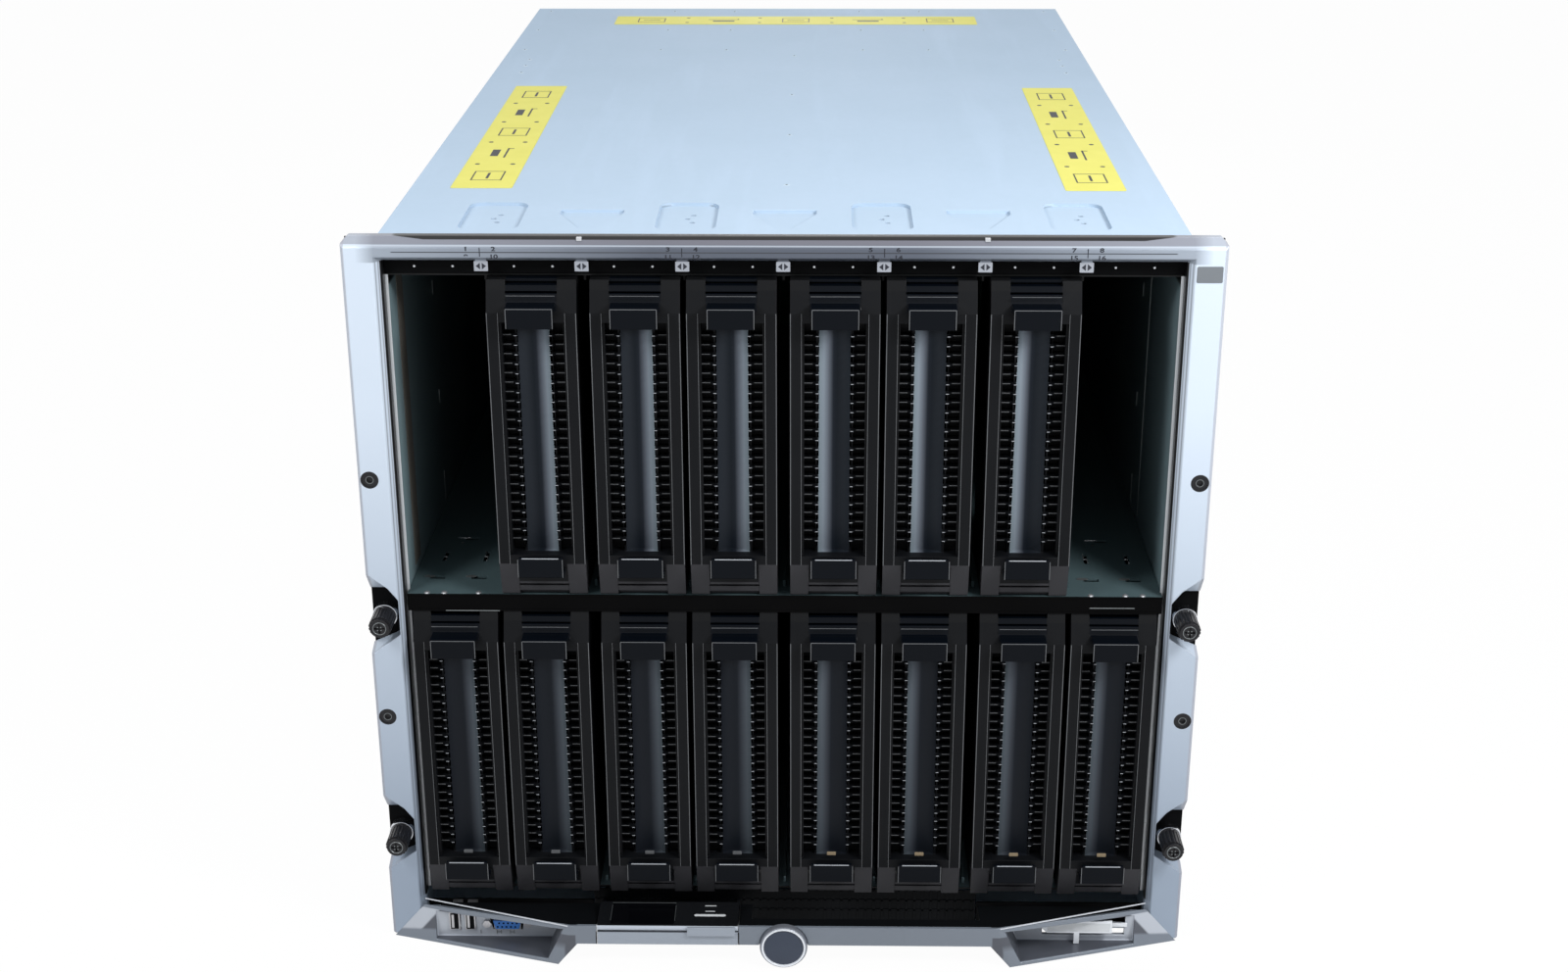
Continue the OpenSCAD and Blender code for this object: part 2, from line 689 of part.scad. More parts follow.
module management_module(i) {
    color([0.5, 0.52, 0.55]) translate([mgmt_x(i), body_d, mgmt_z]) {
        difference() {
            slab(0, -mgmt_len, 0, mgmt_w, mgmt_len, mgmt_h);
            for (x = i == 1 ? [-45, -33, -21] : [-48, -30]) slab(x, -12, 9, i == 1 ? 6 : 13, 20, i == 1 ? 13 : 11);
            if (i == 1) slab(12, -6, 10, 24, 20, 9);
        }
        for (x = [-1, 1]) slab(mgmt_w / 2 - 24 + x * 13, -eps, 14, 5, 18, 6);
        slab(mgmt_w / 2 - 24, 13, 14, 31, 5, 6);
    }
}

// ---------------------------------------------------------------- bezel

// The wedge cut out of a stile round one thumbscrew, on the +X side.
module thumb_notch() {
    out = rack_w / 2 + 1;
    in = stile_x + bevel_w - 0.4;
    hull() {
        along_y(front - 1, eps) polygon([[out, 30], [in + 6, 20], [in, 12], [in, -10], [out, -24]]);
        along_y(0, eps) polygon([[out, 13], [in + 6, 13], [in + 1, 8], [in + 1, -11], [out, -19]]);
    }
}

module stile() {
    back = -frame_t - clear;
    difference() {
        translate([0, 0, bezel_foot]) linear_extrude(bezel_top - bezel_foot) polygon([[stile_x, back],
            [stile_x, front + bevel_d], [stile_x + bevel_w, front], [rack_w / 2 - bezel_chamfer, front],
            [rack_w / 2, front + bezel_chamfer], [rack_w / 2, back]]);
        for (z = [0, thumb_pitch]) translate([0, 0, thumb_z + z]) thumb_notch();
        for (z = [0, bezel_screw_pitch]) translate([bezel_screw_x, 0, bezel_screw_z + z]) rotate([90, 0, 0]) {
            cylinder(r = 2.3, h = 40, $fn = 32);
            translate([0, 0, -front - 2.6]) cylinder(r = bezel_screw_r + clear, h = 10, $fn = 48);
        }
        translate([rack_w / 2, front - 1, bezel_top]) rotate([0, 45, 0]) cube([5, 30, 5], center = true);
    }
}

module bezel_frame() {
    back = -frame_t - clear;
    color([0.66, 0.7, 0.75]) {
        both_sides() stile();
        along_x(2 * (stile_x + bevel_w + 2)) polygon([[back, open_top], [front + bevel_d, open_top],
            [front, open_top + 2.5], [front, bezel_top - bezel_chamfer], [front + bezel_chamfer, bezel_top],
            [back, bezel_top]]);
        for (k = [-3:3]) slab(k * slot_pitch, front + 2.6, open_top - pointer_h, pointer_w, 1.2, pointer_h + 1);
    }
}

module bezel_screws() {
    depth = -front - 2.6;
    color([0.05, 0.05, 0.06]) both_sides() for (z = [0, bezel_screw_pitch]) {
        translate([bezel_screw_x, 0, bezel_screw_z + z]) rotate([90, 0, 0]) difference() {
            union() {
                translate([0, 0, -1]) cylinder(r = 2, h = depth + 2, $fn = 32);
                translate([0, 0, depth + 0.1]) cylinder(r = bezel_screw_r, h = 2.2, $fn = 48);
            }
            translate([0, 0, depth + 0.8]) cylinder(r = 2.4, h = 4, $fn = 6);
        }
    }
}

module thumb_places() {
    for (i = [0:3]) translate([(i % 2 == 0 ? -1 : 1) * thumb_x, 0, thumb_z + floor(i / 2) * thumb_pitch]) children();
}

module thumbscrew_collars() {
    color([0.75, 0.77, 0.8]) thumb_places() rotate([90, 0, 0]) difference() {
        union() {
            translate([0, 0, frame_t + clear]) cylinder(r = collar_r, h = collar_len, $fn = 64);
        }
        cylinder(r = thumb_shank_r + run_clear, h = 40, $fn = 48);
    }
}

module thumbscrew(i) {
    base = frame_t + 2 * clear + collar_len;
    knurls = 18;
    color([0.06, 0.06, 0.07])
        translate([(i % 2 == 0 ? -1 : 1) * thumb_x, 0, thumb_z + floor(i / 2) * thumb_pitch])
        rotate([90, 0, 0]) difference() {
            union() {
                translate([0, 0, -thumb_reach]) cylinder(r = thumb_stud_r, h = thumb_reach + 1, $fn = 48);
                translate([0, 0, -clear]) cylinder(r = thumb_shank_r, h = base + clear + 1, $fn = 48);
                translate([0, 0, base]) cylinder(r = thumb_r, h = thumb_len - 2, $fn = 64);
                translate([0, 0, base + thumb_len - 2]) cylinder(r = thumb_r - 0.9, h = 2, $fn = 64);
            }
            for (k = [0:knurls - 1]) rotate([0, 0, 360 / knurls * k]) translate([thumb_r + 0.3, 0, base + 2])
                cylinder(r = 0.7, h = thumb_len - 4 + eps, $fn = 16);
            for (a = [0, 90]) rotate([0, 0, a]) slab(0, -0.6, base + thumb_len - 1.6, 6, 1.2, 3);
        }
}

// ---------------------------------------------------------------- chin

// The wedge that a wing is cut from, on the +X side.
module wing_block() {
    hull() {
        linear_extrude(eps) polygon([[wing_foot_x, front], [wing_nose_x, -chin_out], [strip_half, -chin_out],
            [strip_half, front]]);
        translate([0, 0, chin_top]) linear_extrude(eps) polygon([[stile_x - 3, front],
            [strip_half + 3, -chin_out], [strip_half, -chin_out], [strip_half, front]]);
    }
}

module wing(scoop_back_y) {
    difference() {
        intersection() {
            wing_block();
            along_x(far) polygon([[front, 0], [-chin_out, 0], [-chin_out, chin_top], [front, chin_back]]);
            along_y(-chin_out - 1, chin_out + 1) polygon([[strip_half, strip_z], [wing_nose_x, 0], [far, 0],
                [far, chin_top + 1], [strip_half, chin_top + 1]]);
        }
        intersection() {
            along_x(far) polygon([[scoop_back_y, scoop_floor], [-chin_out - 20, scoop_floor],
                [-chin_out - 20, chin_slope(-chin_out - 20) - roof_drop],
                [scoop_back_y, chin_slope(scoop_back_y) - roof_drop]]);
            along_y(-chin_out - 10, chin_out) polygon([[wing_nose_x + 7, scoop_floor - 1],
                [scoop_end_x, scoop_floor - 1], [scoop_end_x, chin_top], [strip_half + 7, chin_top]]);
        }
        tray_pocket();
    }
}

// The space in the chin's top that the tray fills.
module tray_pocket() {
    intersection() {
        along_x(far) polygon([[front + 5, chin_slope(front + 5) - chin_wall], [-chin_out, chin_top - chin_wall],
            [-chin_out, chin_top + 20], [front + 5, chin_top + 20]]);
        linear_extrude(far) tray_outline(0);
    }
}

module tray_outline(inset) {
    polygon([for (p = [[-stile_x + 9, front + 5], [-stile_x + 9, front - 1], [-strip_half - 4, -chin_out + chin_wall],
        [strip_half + 4, -chin_out + chin_wall], [stile_x - 9, front - 1], [stile_x - 9, front + 5]])
        [p[0] - sign(p[0]) * inset, p[1] + (p[1] < front ? inset : 0)]]);
}

module bezel_chin() {
    lcd_left = -lcd_x - lcd_w / 2 - clear;
    lcd_right = -lcd_x + lcd_w / 2 + clear;
    color([0.55, 0.6, 0.65]) {
        difference() {
            wing(scoop_back);
            right_slots();
        }
        difference() {
            mirror([1, 0, 0]) wing(scoop_back);
            left_ports();
        }
        translate([-strip_half - eps, -chin_out, strip_z])
            cube([lcd_left + strip_half, chin_wall, chin_top - strip_z]);
        difference() {
            translate([lcd_right, -chin_out, strip_z])
                cube([strip_half - lcd_right + eps, chin_wall, chin_top - strip_z]);
            translate([0, badge_seat - chin_out, badge_z]) rotate([90, 0, 0])
                cylinder(r = badge_r + clear, h = 10, $fn = 96);
        }
    }
}

module right_slots() {
    x = slot_end_x - slot_w;
    upper_h = slot_h - 1.8;
    translate([x, scoop_back - 1, bar_z - slot_h]) cube([slot_w, 10, slot_h]);
    translate([x, scoop_back - 1, bar_z + bar_h]) cube([slot_w, 10, upper_h]);
}

module left_ports() {
    for (x = usb_x) slab(x, scoop_back - 1, port_z, usb_w + 2 * clear, 10, usb_h + 2 * clear);
    slab(vga_x, scoop_back - 1, vga_z - vga_h / 2 - 0.6, vga_w + 1.6, 10, vga_h + 1.2);
}

module front_ports() {
    for (x = usb_x) color([0.7, 0.7, 0.72]) translate([x, scoop_back, port_z + clear]) {
        difference() {
            slab(0, 0, 0, usb_w, 14, usb_h);
            slab(0, -1, 0.5, usb_w - 1, 14, usb_h - 1);
        }
        slab(-0.8, 5, 2, 1.8, 9, usb_h - 4);
    }
    color([0.15, 0.35, 0.8]) translate([vga_x, scoop_back - 1.2, vga_z]) {
        slab(0, 0, -vga_h / 2, vga_w, 12, vga_h);
    }
    color([0.75, 0.76, 0.78]) for (x = [-12.5, 12.5]) {
        translate([vga_x + x, scoop_back - 0.05, vga_z]) rotate([90, 0, 0]) cylinder(r = 2.7, h = 1.8, $fn = 6);
    }
}

module chin_tray() {
    lcd_left = -lcd_x - lcd_w / 2 - 2 * clear;
    color([0.05, 0.05, 0.06]) difference() {
        intersection() {
            along_x(far) polygon([[front + 4, chin_slope(front + 4) - chin_wall + clear],
                [-chin_out + chin_wall + clear, chin_slope(-chin_out + chin_wall + clear) - chin_wall + clear],
                [-chin_out + chin_wall + clear, chin_slope(-chin_out + chin_wall + clear) - 0.1],
                [front + 4, chin_slope(front + 4) - 0.1]]);
            linear_extrude(far) tray_outline(clear);
        }
        translate([lcd_left, -far / 2, 0]) cube([lcd_w + 4 * clear, far, far]);
        linear_extrude(far) polygon([[-lcd_x + lcd_w / 2 + 8, front + 6], [-lcd_x + lcd_w / 2 + 8, -30],
            [strip_half - 6, -30], [strip_half - 6, front + 6]]);
    }
}

module round_badge() {
    color([0.3, 0.32, 0.36]) translate([0, 0, badge_z]) rotate([90, 0, 0]) {
        translate([0, 0, chin_out - badge_seat + clear]) cylinder(r = badge_r - 1.5, h = 3.9, $fn = 96);
        translate([0, 0, chin_out - badge_seat + clear]) difference() {
            cylinder(r = badge_r, h = 4.5, $fn = 96);
            translate([0, 0, -1]) cylinder(r = badge_r - 1.4, h = 8, $fn = 96);
        }
    }
}

// The bare name plate hangs on a bar that bridges the openings.
module name_bar() {
    half = plate_w / 2;
    back = scoop_back - 4;
    stem_w = 3.4;
    corner = 3.5;
    color([0.8, 0.82, 0.84]) {
        slab(slot_end_x - slot_w / 2, scoop_back - 1.2 - clear, bar_z + 0.2, slot_w + 3, 1.2, bar_h - 0.4);
        slab(plate_x, back - plate_t, scoop_floor + clear, stem_w, plate_t, plate_z - scoop_floor);
        slab(plate_x, back - plate_t + eps, bar_z + 0.4, stem_w, 4 - clear, bar_h - 0.8);
        along_y(back - plate_t, plate_t) translate([plate_x, plate_z]) polygon([[half, 0], [half, plate_h],
            [-half, plate_h], [-half, corner], [-half + corner, 0]]);
    }
}

module lcd_carrier() {
    y0 = -chin_out;
    rail_y = 3;
    reach = 0.7 * lcd_w;
    wall_top = chin_top - lcd_t - clear;
    tab_top = chin_top + 0.4;
    color([0.5, 0.54, 0.58]) {
        slab(-lcd_x, y0, strip_z, lcd_w, chin_wall, wall_top - strip_z);
        slab(-lcd_x, y0, strip_z, lcd_w, reach, chin_wall);
        for (x = [-1, 1]) slab(-lcd_x + x * (lcd_w / 2 - 1), y0 + rail_y, strip_z, 2, reach - rail_y, 5);
        translate([-lcd_x + 0.31 * lcd_w, y0, 0]) along_x(0.34 * lcd_w)
            polygon([[-1.7, wall_top - 1.6], [eps, wall_top - 1.6], [eps, wall_top], [-clear, wall_top],
            [-clear, tab_top], [-1.7, tab_top]]);
    }
}

// The flap turns on its rounded front edge.
module lcd_panel() {
    t = lcd_t + clear;
    color([0.04, 0.04, 0.05]) translate([-lcd_x, -chin_out, chin_top - lcd_t]) {
        slab(0, t / 2, 0, lcd_w, lcd_d - t / 2, t);
        translate([0, t / 2, t / 2]) rotate([0, 90, 0]) cylinder(r = t / 2, h = lcd_w, center = true, $fn = 48);
    }
}

// ---------------------------------------------------------------- nodes

place() chassis_shell();
place() top_cover();
place() front_frame();
place() bezel_frame();
place() bezel_chin();
place() chin_tray();
place() front_ports();
place() round_badge();
place() name_bar();
place() mid_shelf();
place() bay_liner();
place() midplane();
place() rear_cage();
place() fan_housings();
place() bezel_screws();
place() thumbscrew_collars();
place() lcd_carrier();
place() lcd_panel();
for (i = [0:3]) place() thumbscrew(i);
for (i = [0:len(slots) - 1]) place() blank(slots[i]);
for (i = [0:5]) place() power_supply(i);
for (i = [0:5]) place() io_filler(i);
for (i = [0:2]) place() management_module(i);
for (i = [0:8]) place() fan_rotor(i);
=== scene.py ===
"""A blade server chassis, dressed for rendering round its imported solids."""

import json
import logging
import math
from dataclasses import dataclass
from enum import Enum
from typing import Any, Sequence

import bmesh
import bpy
from mathutils import Matrix, Vector

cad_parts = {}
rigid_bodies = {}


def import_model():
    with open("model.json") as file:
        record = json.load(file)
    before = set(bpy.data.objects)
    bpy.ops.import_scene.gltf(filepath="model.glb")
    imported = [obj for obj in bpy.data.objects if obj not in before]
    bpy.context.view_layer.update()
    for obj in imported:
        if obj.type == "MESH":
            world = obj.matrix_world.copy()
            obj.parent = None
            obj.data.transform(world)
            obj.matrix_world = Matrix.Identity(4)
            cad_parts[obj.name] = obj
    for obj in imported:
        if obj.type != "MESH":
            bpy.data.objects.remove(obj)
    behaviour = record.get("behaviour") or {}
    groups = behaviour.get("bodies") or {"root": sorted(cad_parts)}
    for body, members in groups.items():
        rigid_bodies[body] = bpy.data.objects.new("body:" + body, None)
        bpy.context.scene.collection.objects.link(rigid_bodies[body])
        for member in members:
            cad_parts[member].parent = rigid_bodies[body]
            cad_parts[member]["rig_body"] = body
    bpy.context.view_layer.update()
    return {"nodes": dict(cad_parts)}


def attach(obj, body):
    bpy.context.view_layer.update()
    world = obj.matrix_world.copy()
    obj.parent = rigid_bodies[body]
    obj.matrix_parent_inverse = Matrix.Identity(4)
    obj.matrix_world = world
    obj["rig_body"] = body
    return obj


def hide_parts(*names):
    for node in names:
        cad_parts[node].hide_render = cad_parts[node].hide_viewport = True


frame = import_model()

Colour = tuple[float, float, float]
Point = tuple[float, float]
Spot = tuple[float, float, float]

MM = 0.001
BODY_MIDDLE = 377.0
HAIR = 0.05
CREASE = 32.0

log = logging.getLogger("chassis")


class Axis(Enum):
    """The direction in which a rod, a turned shape or a plate grows."""

    X = "x"
    Y = "y"
    Z = "z"

    @property
    def turn(self) -> Matrix:
        """Turns +Z onto this axis.

        Returns:
            The rotation.
        """
        if self is Axis.X:
            return Matrix.Rotation(math.pi / 2, 4, "Y")
        if self is Axis.Y:
            return Matrix.Rotation(-math.pi / 2, 4, "X")
        return Matrix.Identity(4)

    def spot(self, a: float, b: float, along: float) -> Spot:
        """A point from its two flat coordinates and its place along this axis.

        Args:
            a: The first of the two other coordinates.
            b: The second of the two other coordinates.
            along: The coordinate along this axis.

        Returns:
            The point.
        """
        if self is Axis.X:
            return (along, a, b)
        if self is Axis.Y:
            return (a, along, b)
        return (a, b, along)


# ---------------------------------------------------------------- shaders


class Signal:
    """A number in a shader tree that takes plain arithmetic."""

    def __init__(self, tree: "Tree", socket: Any) -> None:
        """Keeps the tree and the output socket that carries the number."""
        self.tree = tree
        self.socket = socket

    def _maths(self, operation: str, first: Any, second: Any = 0.0) -> "Signal":
        """Adds one Math node.

        Args:
            operation: The Math node's operation.
            first: Its first value or signal.
            second: Its second value or signal.

        Returns:
            The node's result.
        """
        node = self.tree.add("Math", {"operation": operation}, {0: first, 1: second})
        return Signal(self.tree, node.outputs[0])

    def __add__(self, other: Any) -> "Signal":
        """Sum of two numbers."""
        return self._maths("ADD", self, other)

    __radd__ = __add__

    def __sub__(self, other: Any) -> "Signal":
        """Difference of two numbers."""
        return self._maths("SUBTRACT", self, other)

    def __rsub__(self, other: Any) -> "Signal":
        """Difference with this number taken away."""
        return self._maths("SUBTRACT", other, self)

    def __mul__(self, other: Any) -> "Signal":
        """Product of two numbers."""
        return self._maths("MULTIPLY", self, other)

    __rmul__ = __mul__

    def __truediv__(self, other: Any) -> "Signal":
        """Quotient of two numbers."""
        return self._maths("DIVIDE", self, other)

    def __abs__(self) -> "Signal":
        """The number without its sign."""
        return self._maths("ABSOLUTE", self)

    def sign(self) -> "Signal":
        """-1, 0 or 1."""
        return self._maths("SIGN", self)

    def above(self, limit: float, soft: float) -> "Signal":
        """1 above a limit and 0 below it, with a soft edge of that width."""
        return ((self - limit) / soft + 0.5).held()

    def below(self, limit: float, soft: float) -> "Signal":
        """1 below a limit and 0 above it, with a soft edge of that width."""
        return ((limit - self) / soft + 0.5).held()

    def held(self) -> "Signal":
        """The number kept between 0 and 1."""
        return self._maths("MINIMUM", self._maths("MAXIMUM", self, 0.0), 1.0)

    def wrapped(self, period: float) -> "Signal":
        """The number's distance from the nearest multiple of a period."""
        shifted = self._maths("FLOORED_MODULO", self + period / 2, period)
        return shifted - period / 2

    def near(self, middle: float, half: float, soft: float) -> "Signal":
        """1 within half of a middle value and 0 outside it, with soft edges."""
        return ((half - abs(self - middle)) / soft + 0.5).held()


class Tree:
    """The node tree of one material or of the world."""

    def __init__(self, owner: bpy.types.ID) -> None:
        """Turns on the owner's nodes.

        Args:
            owner: The new material or the new world.
        """
        self.owner = owner
        self.owner.use_nodes = True
        self.net = self.owner.node_tree

    @property
    def shader(self) -> Any:
        """The material's principled shader."""
        return self.net.nodes["Principled BSDF"]

    def add(
        self,
        kind: str,
        settings: dict[str, Any] | None = None,
        sockets: dict[str | int, Any] | None = None,
    ) -> Any:
        """Adds one node.

        Args:
            kind: The node's type without its ShaderNode prefix.
            settings: Its settings, set first; stops holds a ramp's stops.
            sockets: Values or links of its inputs, by name or place.

        Returns:
            The new node.
        """
        node = self.net.nodes.new("ShaderNode" + kind)
        for key, value in (settings or {}).items():
            if key == "stops":
                ramp = node.color_ramp
                while len(ramp.elements) < len(value):
                    ramp.elements.new(1.0)
                for element, (place, tone) in zip(ramp.elements, value):
                    element.position = place
                    element.color = (*tone, 1.0)
            else:
                setattr(node, key, value)
        for key, value in (sockets or {}).items():
            self.feed(node.inputs[key], value)
        return node

    def feed(self, socket: Any, value: Any) -> None:
        """Links a signal or an output to a socket, or sets the socket's value.

        Args:
            socket: The input socket.
            value: The signal, the output socket or the plain value.
        """
        if isinstance(value, Signal):
            self.net.links.new(value.socket, socket)
        elif isinstance(value, bpy.types.NodeSocket):
            self.net.links.new(value, socket)
        elif isinstance(value, tuple) and socket.type == "RGBA":
            socket.default_value = (*value, 1.0)
        else:
            socket.default_value = value

    def coords(self, stretch: Spot = (1.0, 1.0, 1.0)) -> Any:
        """Object coordinates, stretched.

        Args:
            stretch: Factors along X, Y and Z.

        Returns:
            The output socket of the coordinates.
        """
        place = self.add("TexCoord").outputs["Object"]
        node = self.add("Mapping", None, {"Vector": place, "Scale": stretch})
        return node.outputs[0]

    def along(self, axis: Axis) -> Signal:
        """Millimetres along an axis; Y counts from the front of the body.

        Args:
            axis: The axis.

        Returns:
            The distance along it.
        """
        split = self.add("SeparateXYZ", None, {0: self.coords()})
        number = Signal(self, split.outputs[axis.name]) * 1000.0
        return number + BODY_MIDDLE if axis is Axis.Y else number

    def noise(self, scale: float, stretch: Spot = (1.0, 1.0, 1.0), detail: float = 3.0) -> Signal:
        """Soft noise between 0 and 1."""
        sockets = {"Vector": self.coords(stretch), "Scale": scale, "Detail": detail}
        return Signal(self, self.add("TexNoise", None, sockets).outputs[0])

    def cells(self, scale: float, stretch: Spot = (1.0, 1.0, 1.0)) -> Signal:
        """Distance from the nearest of many scattered points."""
        sockets = {"Vector": self.coords(stretch), "Scale": scale}
        return Signal(self, self.add("TexVoronoi", None, sockets).outputs[0])

    def mix(self, share: Any, first: Any, second: Any) -> Any:
        """Mixes two colours.

        Args:
            share: How much of the second colour shows, from 0 to 1.
            first: A colour or a colour output.
            second: A colour or a colour output.

        Returns:
            The mixed colour output.
        """
        settings = {"data_type": "RGBA"}
        node = self.add("Mix", settings, {0: share, 6: first, 7: second})
        return node.outputs[2]


@dataclass(frozen=True)
class Finish:
    """A surface whose tone wanders between two colours under a fine grain."""

    name: str
    slot: str
    tone: Colour
    second: Colour
    roughness: float = 0.45
    swing: float = 0.1
    metallic: float = 0.0
    specular: float = 0.5
    coat: float = 0.0
    cloud: float = 14.0
    grain: float = 1500.0
    stretch: Spot = (1.0, 1.0, 1.0)
    depth: float = 0.02
    # edge: a brighter tone on the rounded edges, a painted highlight
    edge: Colour | None = None
    edge_cloud: float = 60.0

    def pattern(self, tree: Tree, colour: Any) -> Any:
        """Adds nothing to the plain colour; other finishes draw on it."""
        return colour

    def relief(self, tree: Tree) -> Signal:
        """Height of the grain, in millimetres."""
        return tree.noise(self.grain, self.stretch, 2.0) * self.depth

    def wear(self, tree: Tree, roughness: Signal) -> Signal:
        """Leaves the roughness as it is; other finishes change it."""
        return roughness

    def painted_edge_highlight(self) -> "Finish":
        """The painted highlight of the rounded edges, as a finish in a brighter tone.

        Returns:
            A plain finish in the tone of the painted edge highlight.
        """
        dulled = tuple(0.8 * c for c in self.edge)
        return Finish(
            f"{self.name}_edge", self.slot, self.edge, dulled, max(0.2, self.roughness - 0.1),
            self.swing, self.metallic, self.specular, self.coat, self.edge_cloud,
        )

    def material(self) -> bpy.types.Material:
        """The material, which is made once.

        Returns:
            The material.
        """
        label = f"{self.name}_finish"
        known = bpy.data.materials.get(label)
        if known:
            return known
        tree = Tree(bpy.data.materials.new(label))
        cloud = tree.noise(self.cloud, self.stretch, 4.0)
        fine = tree.noise(self.grain, self.stretch, 2.0)
        share = (cloud * 0.75 + fine * 0.25 - 0.5) * 1.8 + 0.5
        colour = self.pattern(tree, tree.mix(share.held(), self.tone, self.second))
        rough = self.wear(tree, self.roughness + (cloud - 0.5) * self.swing)
        height = self.relief(tree)
        bump = tree.add("Bump", None, {"Strength": 1.0, "Distance": MM, "Height": height})
        values = {
            "Base Color": colour,
            "Roughness": rough,
            "Metallic": self.metallic,
            "Specular IOR Level": self.specular,
            "Coat Weight": self.coat,
            "Normal": bump.outputs[0],
        }
        for key, value in values.items():
            tree.feed(tree.shader.inputs[key], value)
        return tree.owner


@dataclass(frozen=True)
class CoverSteel(Finish):
    """Zinc plated sheet with faint spangle and handling marks."""

    def pattern(self, tree: Tree, colour: Any) -> Any:
        """Adds faint spangle and thin rubbed streaks.

        Args:
            tree: The material's tree.
            colour: The colour below.

        Returns:
            The colour with these marks on it.
        """
        spangle = tree.cells(160.0, (1.0, 0.7, 1.0))
        streak = tree.noise(40.0, (1.0, 0.08, 1.0), 5.0).above(0.62, 0.12)
        dulled = tuple(0.9 * c for c in self.tone)
        bright = tuple(min(1.0, 1.07 * c) for c in self.tone)
        colour = tree.mix(spangle * 0.22, colour, dulled)
        return tree.mix(streak * 0.3, colour, bright)

    def wear(self, tree: Tree, roughness: Signal) -> Signal:
        """Roughens the sheet where it was rubbed."""
        return roughness + tree.noise(55.0, (1.0, 0.1, 1.0), 5.0) * 0.08


@dataclass(frozen=True)
class BlankPlastic(Finish):
    """Black moulded plastic on each blank, with a painted reflection and painted shade in the channel and
    painted floor light on the lower ears.
    """

    # painted reflection across the channel: darkest in the middle and brightest on the half that faces
    # the middle of the chassis
    painted_reflection: tuple[tuple[float, Colour], ...] = (
        (0.0, (0.022, 0.027, 0.034)),
        (0.22, (0.016, 0.020, 0.026)),
        (0.42, (0.005, 0.008, 0.012)),
        (0.54, (0.010, 0.013, 0.019)),
        (0.68, (0.090, 0.103, 0.126)),
        (0.84, (0.190, 0.224, 0.262)),
        (1.0, (0.165, 0.205, 0.232)),
    )
    # ears: a lighter tone on the lower ears and the foot bar, a painted reflection of floor light
    ears: Colour = (0.036, 0.036, 0.040)
    crown: Colour = (0.006, 0.0064, 0.0072)
    tab: Colour = (0.0010, 0.0020, 0.0040)
    pair_pitch: float = 110.0
    pair_middle: float = 55.0
    row_pitch: float = 200.1
    row_foot: float = 29.1
    blank_offset: float = 26.5
    face_y: float = 3.0
    ear_x: float = 14.2
    ear_top: float = 21.4
    crown_foot: float = 183.6
    tab_y: float = -14.5
    middle_half: float = 14.0
    foot_bar_top: float = 9.0
    crown_bar_foot: float = 172.5
    channel_half: float = 8.9
    channel_z: Point = (94.0, 70.0)
    channel_y: Point = (-3.6, 2.9)
    # shade: painted shade mixed into the channel, more in the lower row, on its outer half and towards
    # its foot
    shade: Colour = (0.008, 0.010, 0.014)

    def pattern(self, tree: Tree, colour: Any) -> Any:
        """Paints a reflection with shade into the channel, floor light on the lower ears and foot, and
        shade behind the upper tab.

        Args:
            tree: The material's tree.
            colour: The colour below.

        Returns:
            The colour with these marks on it.
        """
        across = abs((tree.along(Axis.X) + self.pair_middle).wrapped(self.pair_pitch)) - self.blank_offset
        up = tree.along(Axis.Z) - self.row_foot
        local = (up - self.row_pitch / 2).wrapped(self.row_pitch) + self.row_pitch / 2
        deep = tree.along(Axis.Y)
        ear = abs(across).above(self.ear_x, 0.2) * deep.below(self.face_y, 0.5)
        # painted reflection of floor light on the lower ears
        colour = tree.mix(ear * local.below(self.ear_top, 0.4), colour, self.ears)
        colour = tree.mix(ear * local.above(self.crown_foot, 0.3), colour, self.crown)
        colour = tree.mix(deep.below(self.tab_y, 0.3), colour, self.tab)
        centre = abs(across).below(self.middle_half, 0.2)
        # painted reflection of floor light on the foot bar under the channel
        foot_reflection = centre * local.below(self.foot_bar_top, 0.3) * deep.below(self.face_y, 0.5)
        colour = tree.mix(foot_reflection, colour, self.ears)
        # painted shade behind the upper finger tab
        under_tab_shade = centre * local.above(self.crown_bar_foot, 0.5) * deep.above(-14.0, 0.3)
        colour = tree.mix(under_tab_shade, colour, self.tab)
        # the channel takes the painted reflection, with painted shade mixed in
        inside = across.near(0.0, self.channel_half, 0.3) * local.near(*self.channel_z, 1.0)
        pair = (tree.along(Axis.X) + self.pair_middle).wrapped(self.pair_pitch)
        inward = across * pair.sign() * tree.along(Axis.X).sign() * -0.5 / self.channel_half + 0.5
        painted_sheen = tree.add("ValToRGB", {"stops": self.painted_reflection}, {0: inward}).outputs[0]
        channel_shade = local.above(0.0, 1.0) * (up.below(195.0, 4.0) * 0.62) + inward.below(0.45, 0.2) * 0.35
        painted_reflection = tree.mix((channel_shade + (local - 130.0) * -0.0015).held(), painted_sheen, self.shade)
        return tree.mix(inside * deep.near(*self.channel_y, 0.2), colour, painted_reflection)


